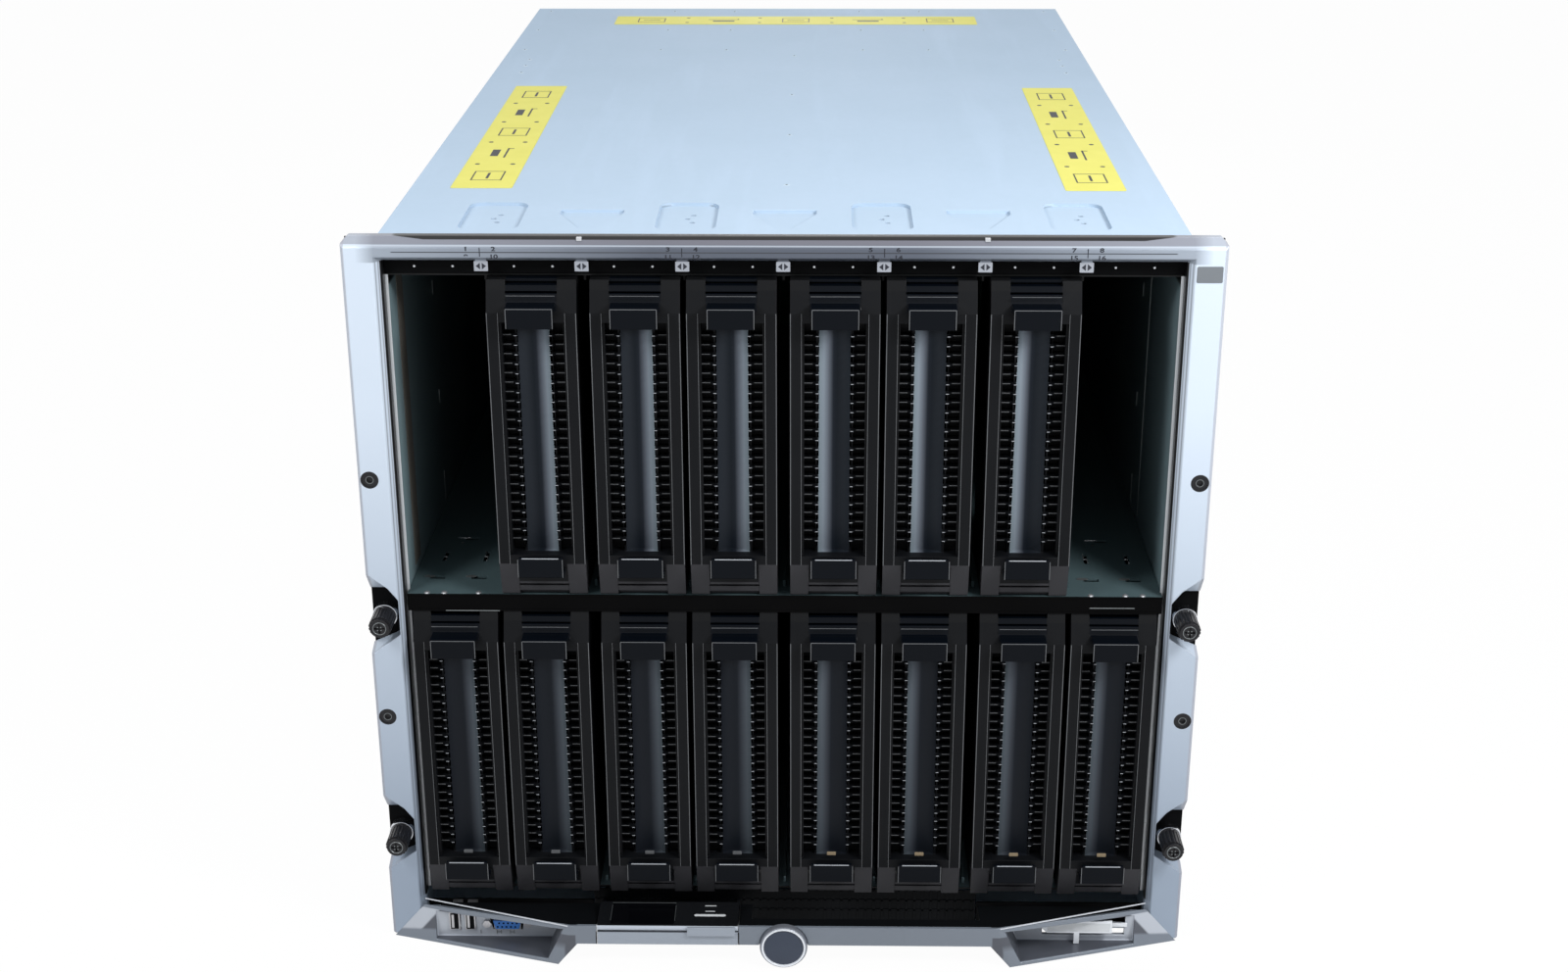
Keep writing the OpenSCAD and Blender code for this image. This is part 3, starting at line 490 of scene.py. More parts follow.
@dataclass(frozen=True)
class BezelPaint(Finish):
    """Silver paint with painted shade down the stiles, along the bar and on its top, and a painted
    highlight on its crest.
    """

    # low, bar and top are painted shade on the lower stiles, the middle of the bar and the upper face;
    # crest is a painted highlight; groove, step and rim are painted shade in the engraved line, on the
    # opening's steps and on the outer rim; dark is painted black shade
    low: Colour = (0.265, 0.32, 0.40)
    bar: Colour = (0.072, 0.084, 0.112)
    top: Colour = (0.15, 0.145, 0.17)
    crest: Colour = (0.50, 0.55, 0.62)
    groove: Colour = (0.03, 0.033, 0.04)
    step: Colour = (0.15, 0.16, 0.19)
    rim: Colour = (0.30, 0.30, 0.34)
    dark: Colour = (0.004, 0.004, 0.005)
    bar_z: float = 429.0
    groove_z: float = 435.0
    crest_z: float = 438.4
    top_z: float = 438.9
    gap_z: float = 441.1
    opening_z: Point = (27.0, 429.2)
    opening_x: float = 220.7
    steps_x: Point = (222.7, 221.3)
    rim_x: float = 239.4

    def pattern(self, tree: Tree, colour: Any) -> Any:
        """Paints shade on the stiles, the bar, its top, the engraved line, the steps and the rim, a
        highlight on the crest, and black shade behind the bar and on the opening's return.

        Args:
            tree: The material's tree.
            colour: The colour below.

        Returns:
            The colour with these marks on it.
        """
        x, y, z = (tree.along(axis) for axis in Axis)
        wide = abs(x)
        # painted shade, darker towards the bottom of the stiles
        colour = tree.mix(((345.0 - z) / 300.0).held(), colour, self.low)
        middle = ((222.0 - wide) / 150.0).held()
        # painted shade along the bar, darkest in its middle
        bar = z.above(self.bar_z, 0.6) * wide.below(228.0, 10.0)
        colour = tree.mix(bar * (middle * 0.40 + 0.58).held(), colour, self.bar)
        # painted shade on the upper face and a painted highlight on the crest
        colour = tree.mix(z.above(self.top_z, 0.3) * 0.6, colour, self.top)
        colour = tree.mix(z.near(self.crest_z, 0.35, 0.25) * 0.5, colour, self.crest)
        # painted shade in the engraved line
        line = z.near(self.groove_z, 0.3, 0.1) * wide.below(213.4, 1.0) * y.below(-12.2, 0.2)
        colour = tree.mix(line * 0.9, colour, self.groove)
        opening = z.below(self.opening_z[1], 0.3) * z.above(self.opening_z[0], 0.3)
        # painted shade lines on the opening's steps and painted shade on the outer rim
        steps = wide.near(self.steps_x[0], 0.28, 0.15) + wide.near(self.steps_x[1], 0.28, 0.15)
        colour = tree.mix((steps * opening * 0.6).held(), colour, self.step)
        colour = tree.mix(wide.above(self.rim_x, 0.5) * 0.6, colour, self.rim)
        # painted black shade on the opening's return and in the gap behind the bar
        inner = wide.below(self.opening_x, 0.25) * opening
        rise = ((wide - 196.0) / 20.0).held() * 2.0
        gap = (z - rise).above(self.gap_z, 0.25) * wide.below(214.0, 1.5)
        return tree.mix((inner + gap).held(), colour, self.dark)


@dataclass(frozen=True)
class ChinPaint(Finish):
    """Silver paint with painted shade on the floors of the two scoops and a painted highlight on their
    back walls.
    """

    # back is a painted highlight on the scoops' back walls; floor is painted shade on their floors
    back: Colour = (0.42, 0.45, 0.50)
    floor: Colour = (0.075, 0.082, 0.10)
    mouth: Point = (136.0, -43.0)
    scoop_z: Point = (1.6, 20.5)
    scoop_x: float = 125.0
    back_y: float = -16.5

    def pattern(self, tree: Tree, colour: Any) -> Any:
        """Paints shade on the scoop floors and a highlight on their back walls.

        Args:
            tree: The material's tree.
            colour: The colour below.

        Returns:
            The colour with these marks on it.
        """
        x, y, z = (tree.along(axis) for axis in Axis)
        depth = (y - self.mouth[1]) * 0.96 - (abs(x) - self.mouth[0]) * 0.28
        inside = depth.above(1.2, 0.4) * z.below(self.scoop_z[1], 0.6) * z.above(self.scoop_z[0], 0.3)
        inside = inside * abs(x).above(self.scoop_x, 0.5)
        # painted shade on the scoop floors and a painted highlight on their back walls
        scoop = tree.mix(y.above(self.back_y, 0.5), self.floor, self.back)
        return tree.mix(inside, colour, scoop)


@dataclass(frozen=True)
class ShelfSteel(CoverSteel):
    """Bay steel darkened as painted shade, whose front edges are black."""

    front: float = -7.4
    under: float = 228.6
    black: Colour = (0.0007, 0.0007, 0.0009)

    def pattern(self, tree: Tree, colour: Any) -> Any:
        """Blackens the front of the shelf and paints black shade under its front.

        Args:
            tree: The material's tree.
            colour: The colour below.

        Returns:
            The colour with these marks on it.
        """
        colour = super().pattern(tree, colour)
        y, z = tree.along(Axis.Y), tree.along(Axis.Z)
        # the underside near the front is painted black shade
        front = (y.below(self.front, 0.1) + z.below(self.under, 0.2) * y.below(2.0, 1.0)).held()
        return tree.mix(front, colour, self.black)


@dataclass(frozen=True)
class BaySteel(CoverSteel):
    """Bay steel darkened as painted shade, with more painted shade at its ceiling and deeper in, and
    painted black shade on its front edges.
    """

    ceiling: float = 412.0
    # dark: the colour of the painted shade
    dark: Colour = (0.003, 0.004, 0.0045)

    def pattern(self, tree: Tree, colour: Any) -> Any:
        """Paints shade on the ceiling, on the front edges and more the deeper it goes.

        Args:
            tree: The material's tree.
            colour: The colour below.

        Returns:
            The colour with these marks on it.
        """
        colour = super().pattern(tree, colour)
        # painted shade at the ceiling, on the front edges and growing deeper in
        shade = tree.along(Axis.Z).above(self.ceiling, 2.0) + tree.along(Axis.Y).below(0.3, 0.2)
        return tree.mix((shade + tree.along(Axis.Y) * 0.0018).held(), colour, self.dark)


@dataclass(frozen=True)
class DisplayGloss(Finish):
    """Black gloss with a silver front edge."""

    silver: Colour = (0.42, 0.46, 0.52)
    front: float = -42.1

    def pattern(self, tree: Tree, colour: Any) -> Any:
        """Silvers the front edge."""
        return tree.mix(tree.along(Axis.Y).below(self.front, 0.1), colour, self.silver)


@dataclass(frozen=True)
class CarrierPaint(Finish):
    """Silver paint in front and black plastic behind."""

    black: Colour = (0.006, 0.0065, 0.008)
    back_y: float = -41.5

    def pattern(self, tree: Tree, colour: Any) -> Any:
        """Blackens everything behind the front face."""
        return tree.mix(tree.along(Axis.Y).above(self.back_y, 0.2), colour, self.black)


@dataclass(frozen=True)
class HandleBack(CoverSteel):
    """Bare steel with black plastic behind a certain depth."""

    from_y: float = 764.0
    black: Colour = (0.010, 0.0105, 0.012)

    def pattern(self, tree: Tree, colour: Any) -> Any:
        """Blackens the handle."""
        colour = super().pattern(tree, colour)
        return tree.mix(tree.along(Axis.Y).above(self.from_y, 0.2), colour, self.black)


@dataclass(frozen=True)
class Palette:
    """Every finish of the chassis."""

    cover: Finish = CoverSteel(
        "cover_steel", "cover_steel", (0.415, 0.52, 0.64), (0.395, 0.50, 0.61),
        roughness=0.6, metallic=0.05, specular=0.08,
    )
    shell: Finish = CoverSteel(
        "galvanised_steel", "galvanised_steel", (0.47, 0.57, 0.66), (0.42, 0.51, 0.60),
        swing=0.15, metallic=0.2,
    )
    black_frame: Finish = Finish(
        "front_frame", "front_frame", (0.0012, 0.0013, 0.0016), (0.0018, 0.002, 0.0024),
        roughness=0.6, specular=0.05,
    )
    bezel: Finish = BezelPaint(
        "bezel_silver", "bezel_silver", (0.60, 0.68, 0.78), (0.57, 0.65, 0.75),
        roughness=0.36, swing=0.08, metallic=0.2, coat=0.05, cloud=9.0,
    )
    # edge is a painted highlight on the chin's rounded edges
    chin: Finish = ChinPaint(
        "chin_silver", "chin_silver", (0.172, 0.197, 0.234), (0.158, 0.182, 0.217),
        roughness=0.38, swing=0.08, metallic=0.2, coat=0.05, cloud=9.0, edge=(0.80, 0.84, 0.90),
    )
    # edge is a painted highlight on the tray's rounded edges
    tray: Finish = Finish(
        "tray_black", "tray_black", (0.0025, 0.003, 0.0036), (0.004, 0.0045, 0.0055),
        roughness=0.5, specular=0.06, cloud=20.0, grain=2600.0, edge=(0.10, 0.105, 0.11),
    )
    # bay_steel: galvanised steel darkened as painted shade inside the bays
    bay: Finish = BaySteel(
        "bay_steel", "bay_steel", (0.22, 0.31, 0.34), (0.18, 0.26, 0.285),
        roughness=0.42, swing=0.15, metallic=0.25, specular=0.3,
    )
    # shelf_steel: galvanised steel darkened further as painted shade on the shelf
    shelf: Finish = ShelfSteel(
        "shelf_steel", "bay_steel", (0.070, 0.106, 0.115), (0.05, 0.078, 0.085),
        swing=0.15, metallic=0.05, specular=0.05,
    )
    cage: Finish = CoverSteel(
        "cage_steel", "cage_steel", (0.40, 0.45, 0.49), (0.34, 0.385, 0.42),
        swing=0.15, metallic=0.4,
    )
    board: Finish = Finish(
        "midplane", "midplane", (0.006, 0.022, 0.014), (0.004, 0.014, 0.009),
        specular=0.2, coat=0.1, cloud=60.0,
    )
    # edge is a painted highlight on the blanks' rounded edges
    blank: Finish = BlankPlastic(
        "blank_plastic", "blank_plastic", (0.0035, 0.004, 0.005), (0.0055, 0.006, 0.0072),
        roughness=0.42, specular=0.1, cloud=30.0, grain=2200.0, edge=(0.085, 0.088, 0.092),
    )
    fan: Finish = Finish(
        "fan_plastic", "fan_plastic", (0.010, 0.011, 0.013), (0.016, 0.017, 0.02),
        roughness=0.5, specular=0.25,
    )
    rotor: Finish = Finish(
        "rotor_black", "rotor_black", (0.016, 0.017, 0.02), (0.024, 0.025, 0.028),
        roughness=0.42, specular=0.3,
    )
    # edge is a painted highlight on the screws' rounded edges
    screw: Finish = Finish(
        "black_screw", "black_screw", (0.008, 0.008, 0.010), (0.014, 0.014, 0.017),
        roughness=0.3, swing=0.12, metallic=0.2, specular=0.35, cloud=200.0,
        edge=(0.16, 0.16, 0.165),
    )
    collar: Finish = Finish(
        "collar_chrome", "collar_chrome", (0.62, 0.64, 0.68), (0.56, 0.58, 0.62),
        roughness=0.16, swing=0.08, metallic=1.0,
    )
    # edge is a painted highlight on the thumbscrews' rounded edges
    thumb: Finish = Finish(
        "thumb_black", "thumb_black", (0.006, 0.006, 0.0075), (0.010, 0.010, 0.012),
        roughness=0.32, swing=0.12, specular=0.3, cloud=120.0, edge=(0.06, 0.06, 0.065),
    )
    display: Finish = DisplayGloss(
        "lcd_panel", "lcd_panel", (0.005, 0.0055, 0.0065), (0.007, 0.0076, 0.009),
        roughness=0.25, swing=0.06, specular=0.2,
    )
    carrier: Finish = CarrierPaint(
        "lcd_carrier", "lcd_carrier", (0.30, 0.335, 0.39), (0.275, 0.31, 0.36),
        roughness=0.36, swing=0.08, metallic=0.2, coat=0.05, cloud=9.0,
    )
    glass: Finish = Finish(
        "screen_glass", "lcd_panel", (0.0012, 0.0013, 0.002), (0.002, 0.0022, 0.003),
        roughness=0.08, swing=0.03, specular=0.15, cloud=40.0, grain=300.0, depth=0.001,
    )
    badge_disc: Finish = Finish(
        "badge_disc", "badge", (0.032, 0.044, 0.070), (0.026, 0.036, 0.060),
        roughness=0.34, swing=0.08, specular=0.35, coat=0.1, cloud=60.0,
    )
    badge_ring: Finish = Finish(
        "badge_ring", "badge", (0.80, 0.83, 0.88), (0.74, 0.77, 0.82),
        roughness=0.25, swing=0.08, metallic=0.3, cloud=60.0,
    )
    badge_rim: Finish = Finish(
        "badge_rim", "badge", (0.22, 0.235, 0.27), (0.19, 0.205, 0.24),
        roughness=0.3, swing=0.08, metallic=0.5, cloud=60.0,
    )
    nickel: Finish = Finish(
        "ports", "ports", (0.50, 0.50, 0.52), (0.42, 0.42, 0.44),
        roughness=0.28, metallic=0.9, cloud=90.0,
    )
    port_blue: Finish = Finish(
        "port_blue", "ports", (0.04, 0.20, 0.62), (0.035, 0.17, 0.54),
        roughness=0.4, swing=0.08, specular=0.4, cloud=200.0,
    )
    plate: Finish = Finish(
        "name_bar", "name_bar", (0.72, 0.75, 0.79), (0.67, 0.70, 0.74),
        roughness=0.35, swing=0.08, metallic=0.2, cloud=30.0,
    )
    psu: Finish = HandleBack(
        "psu_metal", "psu_metal", (0.36, 0.38, 0.41), (0.31, 0.33, 0.36),
        roughness=0.4, swing=0.12, metallic=0.6,
    )
    filler: Finish = Finish(
        "io_filler", "io_filler", (0.035, 0.037, 0.042), (0.048, 0.050, 0.056),
        metallic=0.2, specular=0.3,
    )
    module: Finish = HandleBack(
        "module_metal", "module_metal", (0.34, 0.36, 0.39), (0.30, 0.32, 0.35),
        roughness=0.4, swing=0.12, metallic=0.6,
    )
    yellow: Finish = Finish(
        "yellow_sheet", "cover_steel", (0.68, 0.645, 0.14), (0.63, 0.60, 0.125),
        roughness=0.5, specular=0.12, cloud=60.0,
    )
    ink: Finish = Finish(
        "black_ink", "front_frame", (0.02, 0.022, 0.03), (0.03, 0.032, 0.04),
        roughness=0.5, specular=0.2, cloud=200.0,
    )
    grey_label: Finish = Finish(
        "grey_label", "bezel_silver", (0.16, 0.175, 0.19), (0.14, 0.155, 0.17),
        roughness=0.5, specular=0.3, cloud=80.0,
    )
    white_mark: Finish = Finish(
        "white_mark", "lcd_panel", (0.60, 0.62, 0.64), (0.52, 0.54, 0.56),
        roughness=0.4, swing=0.08, cloud=200.0,
    )
    pale_paint: Finish = Finish(
        "pale_paint", "bezel_silver", (0.66, 0.69, 0.74), (0.60, 0.63, 0.68),
        roughness=0.4, swing=0.08, metallic=0.2, cloud=200.0,
    )
    # painted highlight on the blank edges and fins, and the plain grey of the windows
    grey_and_highlight: Finish = Finish(
        "grey_and_painted_highlight", "blank_plastic", (0.125, 0.13, 0.137), (0.095, 0.10, 0.106),
        roughness=0.4, specular=0.3, cloud=90.0,
    )
    # painted glints on the fin tips and along the top of the lower tab
    glint: Finish = Finish(
        "painted_glint", "blank_plastic", (0.40, 0.42, 0.45), (0.32, 0.34, 0.37),
        roughness=0.35, specular=0.4, cloud=90.0,
    )
    pointer: Finish = Finish(
        "pointer_grey", "bezel_silver", (0.33, 0.35, 0.39), (0.29, 0.31, 0.35),
        swing=0.08, metallic=0.1, specular=0.3, cloud=200.0,
    )
    # painted highlight on the lit front edges of the side walls
    zinc: Finish = Finish(
        "zinc_edge_highlight", "bay_steel", (0.74, 0.77, 0.80), (0.62, 0.65, 0.68),
        roughness=0.3, metallic=0.3, cloud=80.0,
    )
    tan: Finish = Finish(
        "tan_window", "blank_plastic", (0.30, 0.235, 0.15), (0.24, 0.185, 0.12),
        roughness=0.35, specular=0.4, cloud=300.0,
    )
    foam: Finish = Finish(
        "wall_strip", "bay_steel", (0.15, 0.14, 0.125), (0.10, 0.095, 0.085),
        roughness=0.6, specular=0.3, cloud=50.0, stretch=(1.0, 1.0, 0.2),
    )
    bright_steel: Finish = Finish(
        "bright_steel", "bay_steel", (0.66, 0.68, 0.71), (0.56, 0.58, 0.61),
        roughness=0.25, metallic=0.8, cloud=80.0,
    )
    dull_steel: Finish = Finish(
        "dull_steel", "bay_steel", (0.20, 0.215, 0.22), (0.13, 0.145, 0.15),
        roughness=0.35, metallic=0.6, cloud=120.0,
    )
    # dark_hole: painted shade inside holes, port mouths and pin holes, and the black of dark parts and
    # seams
    hole: Finish = Finish(
        "dark_hole", "front_frame", (0.003, 0.0032, 0.004), (0.005, 0.0053, 0.006),
        roughness=0.7, specular=0.05, cloud=200.0,
    )
    green_light: Finish = Finish(
        "green_light", "psu_metal", (0.08, 0.35, 0.10), (0.06, 0.28, 0.08),
        roughness=0.25, swing=0.05, coat=0.4, cloud=300.0,
    )


PALETTE = Palette()


# ---------------------------------------------------------------- shapes


def dressed(
    data: bpy.types.Mesh, body: str, finish: Finish, stands_for: Sequence[str] = ()
) -> bpy.types.Object:
    """Links a finished mesh as a piece that rides on a body.

    Args:
        data: The mesh, in metres and in place.
        body: The body that carries the piece.
        finish: The piece's finish.
        stands_for: CAD nodes that the piece stands for.

    Returns:
        The piece.
    """
    data.shade_smooth()
    data.set_sharp_from_angle(angle=math.radians(CREASE))
    data.materials.clear()
    data.materials.append(finish.material())
    # the second material is the painted highlight of the rounded edges
    if finish.edge:
        data.materials.append(finish.painted_edge_highlight().material())
    piece = bpy.data.objects.new(data.name, data)
    bpy.context.scene.collection.objects.link(piece)
    normals = piece.modifiers.new("flat faces", "WEIGHTED_NORMAL")
    normals.keep_sharp = True
    normals.weight = 100
    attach(piece, body)
    if stands_for:
        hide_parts(*stands_for)
    log.info("%s: %d faces on %s", piece.name, len(data.polygons), body)
    return piece


class Casting:
    """A mesh in the making, in millimetres, with Y counted from the front of the body."""

    def __init__(self) -> None:
        """Starts empty."""
        self.mesh = bmesh.new()

    def soften(self, verts: Sequence[Any], width: float) -> None:
        """Rounds the sharp edges round some vertices.

        Args:
            verts: The vertices.
            width: Radius of the edges.
        """
        if width <= 0:
            return
        self.mesh.normal_update()
        edges = {e for v in verts for e in v.link_edges if e.calc_face_angle(0.0) > 0.7}
        bmesh.ops.bevel(
            self.mesh, geom=list(edges), offset=width, offset_type="OFFSET", segments=2,
            profile=0.5, affect="EDGES", material=-1, clamp_overlap=True,
        )

    def block(
        self, x: float, y: float, z: float, w: float, d: float, h: float, soft: float = 0.0
    ) -> "Casting":
        """Adds a box.

        Args:
            x: Its middle along X.
            y: Its lowest Y.
            z: Its lowest Z.
            w: Its width along X.
            d: Its depth along Y.
            h: Its height along Z.
            soft: Radius of its edges.

        Returns:
            This casting.
        """
        place = Matrix.Translation((x, y + d / 2, z + h / 2)) @ Matrix.Diagonal((w, d, h, 1.0))
        made = bmesh.ops.create_cube(self.mesh, size=1.0, matrix=place)
        self.soften(made["verts"], soft)
        return self

    def rod(self, spot: Spot, radius: float, length: float, axis: Axis, sides: int = 32) -> "Casting":
        """Adds a rod that grows from a spot along an axis.

        Args:
            spot: The middle of its foot.
            radius: Its radius.
            length: Its length.
            axis: The axis it grows along.
            sides: Number of sides.

        Returns:
            This casting.
        """
        place = Matrix.Translation(spot) @ axis.turn @ Matrix.Translation((0, 0, length / 2))
        bmesh.ops.create_cone(
            self.mesh, cap_ends=True, cap_tris=False, segments=sides, radius1=radius,
            radius2=radius, depth=length, matrix=place,
        )
        return self

    def lathe(self, profile: Sequence[Point], spot: Spot, axis: Axis, steps: int = 40) -> "Casting":
        """Turns a profile of radius and height about an axis.

        Args:
            profile: Points of radius and height.
            spot: Where height 0 lies on the axis.
            axis: The axis of the turn.
            steps: Number of steps in the full turn.

        Returns:
            This casting.
        """
        place = Matrix.Translation(spot) @ axis.turn
        verts = [self.mesh.verts.new(place @ Vector((r, 0.0, h))) for r, h in profile]
        edges = [self.mesh.edges.new(pair) for pair in zip(verts, verts[1:])]
        before = set(self.mesh.faces)
        bmesh.ops.spin(
            self.mesh, geom=verts + edges, cent=spot, axis=place.to_3x3() @ Vector((0, 0, 1)),
            angle=2 * math.pi, steps=steps, use_merge=True,
        )
        fresh = [f for f in self.mesh.faces if f not in before]
        touched = list({v for f in fresh for v in f.verts})
        bmesh.ops.remove_doubles(self.mesh, verts=touched, dist=0.001)
        fresh = [f for f in self.mesh.faces if f not in before]
        bmesh.ops.recalc_face_normals(self.mesh, faces=fresh)
        return self

    def plate(
        self, outline: Sequence[Point], axis: Axis, start: float, depth: float, soft: float = 0.0
    ) -> "Casting":
        """Grows an outline into a plate along an axis.

        Args:
            outline: Its corners in the two other axes.
            axis: The axis of its thickness.
            start: Where it starts along that axis.
            depth: Its thickness.
            soft: Radius of its edges.

        Returns:
            This casting.
        """
        verts = [self.mesh.verts.new(axis.spot(a, b, start)) for a, b in outline]
        face = self.mesh.faces.new(verts)
        grown = bmesh.ops.extrude_face_region(self.mesh, geom=[face])["geom"]
        moved = [v for v in grown if isinstance(v, bmesh.types.BMVert)]
        bmesh.ops.translate(self.mesh, verts=moved, vec=Vector(axis.spot(0.0, 0.0, depth)))
        faces = list({f for v in verts + moved for f in v.link_faces})
        bmesh.ops.recalc_face_normals(self.mesh, faces=faces)
        self.soften(verts + moved, soft)
        return self

    def cast(
        self, name: str, body: str, finish: Finish, stands_for: Sequence[str] = ()
    ) -> bpy.types.Object:
        """Turns the mesh into a piece.

        Args:
            name: The piece's name.
            body: The body that carries it.
            finish: Its finish.
            stands_for: CAD nodes that it stands for.

        Returns:
            The piece.
        """
        place = Matrix.Scale(MM, 4) @ Matrix.Translation((0.0, -BODY_MIDDLE, 0.0))
        bmesh.ops.transform(self.mesh, matrix=place, verts=self.mesh.verts)
        data = bpy.data.meshes.new(name)
        self.mesh.to_mesh(data)
        self.mesh.free()
        return dressed(data, body, finish, stands_for)


def rounded_rectangle(x: float, z: float, w: float, h: float, r: float, steps: int = 4) -> list[Point]:
    """Corners of a rectangle with round corners.

    Args:
        x: Its middle across.
        z: Its middle upwards.
        w: Its width.
        h: Its height.
        r: Radius of its corners.
        steps: Number of steps in each corner.

    Returns:
        Its corners, going round.
    """
    points = []
    for k, (sx, sz) in enumerate(((1, 1), (-1, 1), (-1, -1), (1, -1))):
        for i in range(steps + 1):
            angle = math.pi / 2 * (k + i / steps)
            across, up = r * math.cos(angle), r * math.sin(angle)
            points.append((x + sx * (w / 2 - r) + across, z + sz * (h / 2 - r) + up))
    return points


@dataclass(frozen=True)
class Layout:
    """Sizes that several sub-assemblies share, in millimetres."""

    body_h: float = 440.5
    front: float = -12.7
    pitch: float = 55.0
    low_z: float = 29.1
    high_z: float = 229.2
    blank_w: float = 49.6
    blank_y: float = -13.0

    def slot_x(self, slot: int) -> float:
        """Middle of a blade slot."""
        return ((slot - 1) % 8 - 3.5) * self.pitch

    def blank_x(self, slot: int) -> float:
        """Middle of the blank in a slot."""
        return self.slot_x(slot) + (1.0 if (slot - 1) % 2 == 0 else -1.0)

    def blank_z(self, slot: int) -> float:
        """Foot of the blank in a slot."""
        return self.low_z if slot > 8 else self.high_z


LAYOUT = Layout()
BLANKS = (2, 3, 4, 5, 6, 7, 9, 10, 11, 12, 13, 14, 15, 16)


@dataclass
class SolidSkins:
    """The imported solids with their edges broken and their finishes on."""

    rules: tuple[tuple[str, Finish, float], ...] = (
        ("chassis_shell", PALETTE.shell, 0.4),
        ("top_cover", PALETTE.cover, 0.35),
        ("front_frame", PALETTE.black_frame, 0.25),
        ("bezel_frame", PALETTE.bezel, 0.5),
        ("bezel_chin", PALETTE.chin, 0.35),
        ("chin_tray", PALETTE.tray, 0.25),
        ("front_ports", PALETTE.nickel, 0.0),
        ("round_badge", PALETTE.badge_disc, 0.0),
        ("name_bar", PALETTE.plate, 0.2),
        ("mid_shelf", PALETTE.shelf, 0.0),
        ("bay_liner", PALETTE.bay, 0.2),
        ("midplane", PALETTE.board, 0.0),
        ("rear_cage", PALETTE.cage, 0.2),
        ("fan_housings", PALETTE.fan, 0.0),
        ("bezel_screws", PALETTE.screw, 0.25),
        ("thumbscrew_collars", PALETTE.collar, 0.4),
        ("lcd_carrier", PALETTE.carrier, 0.25),
        ("lcd_panel", PALETTE.display, 0.2),
        ("thumbscrew_", PALETTE.thumb, 0.18),
        ("blank_", PALETTE.blank, 0.22),
        ("power_supply_", PALETTE.psu, 0.4),
        ("io_filler_", PALETTE.filler, 0.2),
        ("management_module_", PALETTE.module, 0.3),
        ("kvm_module", PALETTE.module, 0.3),
        ("fan_rotor_", PALETTE.rotor, 0.0),
    )

    slope_foot: float = 437.4
    slope_normal: Spot = (0.0, -5.4, 6.0)

    def slope_bar(self, mesh: bmesh.types.BMesh) -> None:
        """Slopes the upper front corner of the bezel along its whole width.

        Args:
            mesh: The bezel's mesh, in metres.
        """
        whole = list(mesh.verts) + list(mesh.edges) + list(mesh.faces)
        foot = Vector((0.0, (LAYOUT.front - BODY_MIDDLE) * MM, self.slope_foot * MM))
        cut = bmesh.ops.bisect_plane(
            mesh, geom=whole, dist=1e-6, plane_co=foot,
            plane_no=Vector(self.slope_normal).normalized(), clear_outer=True,
        )
        edges = [e for e in cut["geom_cut"] if isinstance(e, bmesh.types.BMEdge)]
        bmesh.ops.holes_fill(mesh, edges=edges, sides=0)

    def rounded_copy(self, node: str, finish: Finish, width: float) -> bpy.types.Object:
        """Stands for a CAD node with a copy whose sharp edges are rounded.

        Args:
            node: The CAD node's name.
            finish: Its finish.
            width: Radius of its edges, in millimetres.

        Returns:
            The piece.
        """
        mesh = bmesh.new()
        mesh.from_mesh(frame["nodes"][node].data)
        bmesh.ops.remove_doubles(mesh, verts=mesh.verts, dist=1e-6)
        bmesh.ops.dissolve_limit(
            mesh, angle_limit=math.radians(0.6), use_dissolve_boundaries=False,
            verts=mesh.verts, edges=mesh.edges,
        )
        if node == "bezel_frame":
            self.slope_bar(mesh)
        mesh.normal_update()
        least = 1.05 * width * MM
        sharp = [
            e for e in mesh.edges
            if len(e.link_faces) == 2 and e.calc_face_angle(0.0) > 0.5
            and all(f.calc_area() > least * f.calc_perimeter() for f in e.link_faces)
        ]
        bmesh.ops.bevel(
            mesh, geom=sharp, offset=width * MM, offset_type="OFFSET", segments=2, profile=0.5,
            affect="EDGES", material=-1, clamp_overlap=False, loop_slide=True,
        )
        # small bevel faces take the painted highlight of the rounded edges
        if finish.edge:
            for face in mesh.faces:
                if face.calc_area() < 0.5 * width * MM * face.calc_perimeter():
                    face.material_index = 1
        data = bpy.data.meshes.new(f"{node}_skin")
        mesh.to_mesh(data)
        mesh.free()
        return dressed(data, frame["nodes"][node]["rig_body"], finish, (node,))

    def build(self) -> None:
        """Dresses every CAD node."""
        for node, solid in frame["nodes"].items():
            name, finish, width = next(rule for rule in self.rules if node.startswith(rule[0]))
            solid.data.materials.clear()
            solid.data.materials.append(finish.material())
            if width > 0:
                self.rounded_copy(node, finish, width)
            log.info("%s wears %s", node, finish.name)


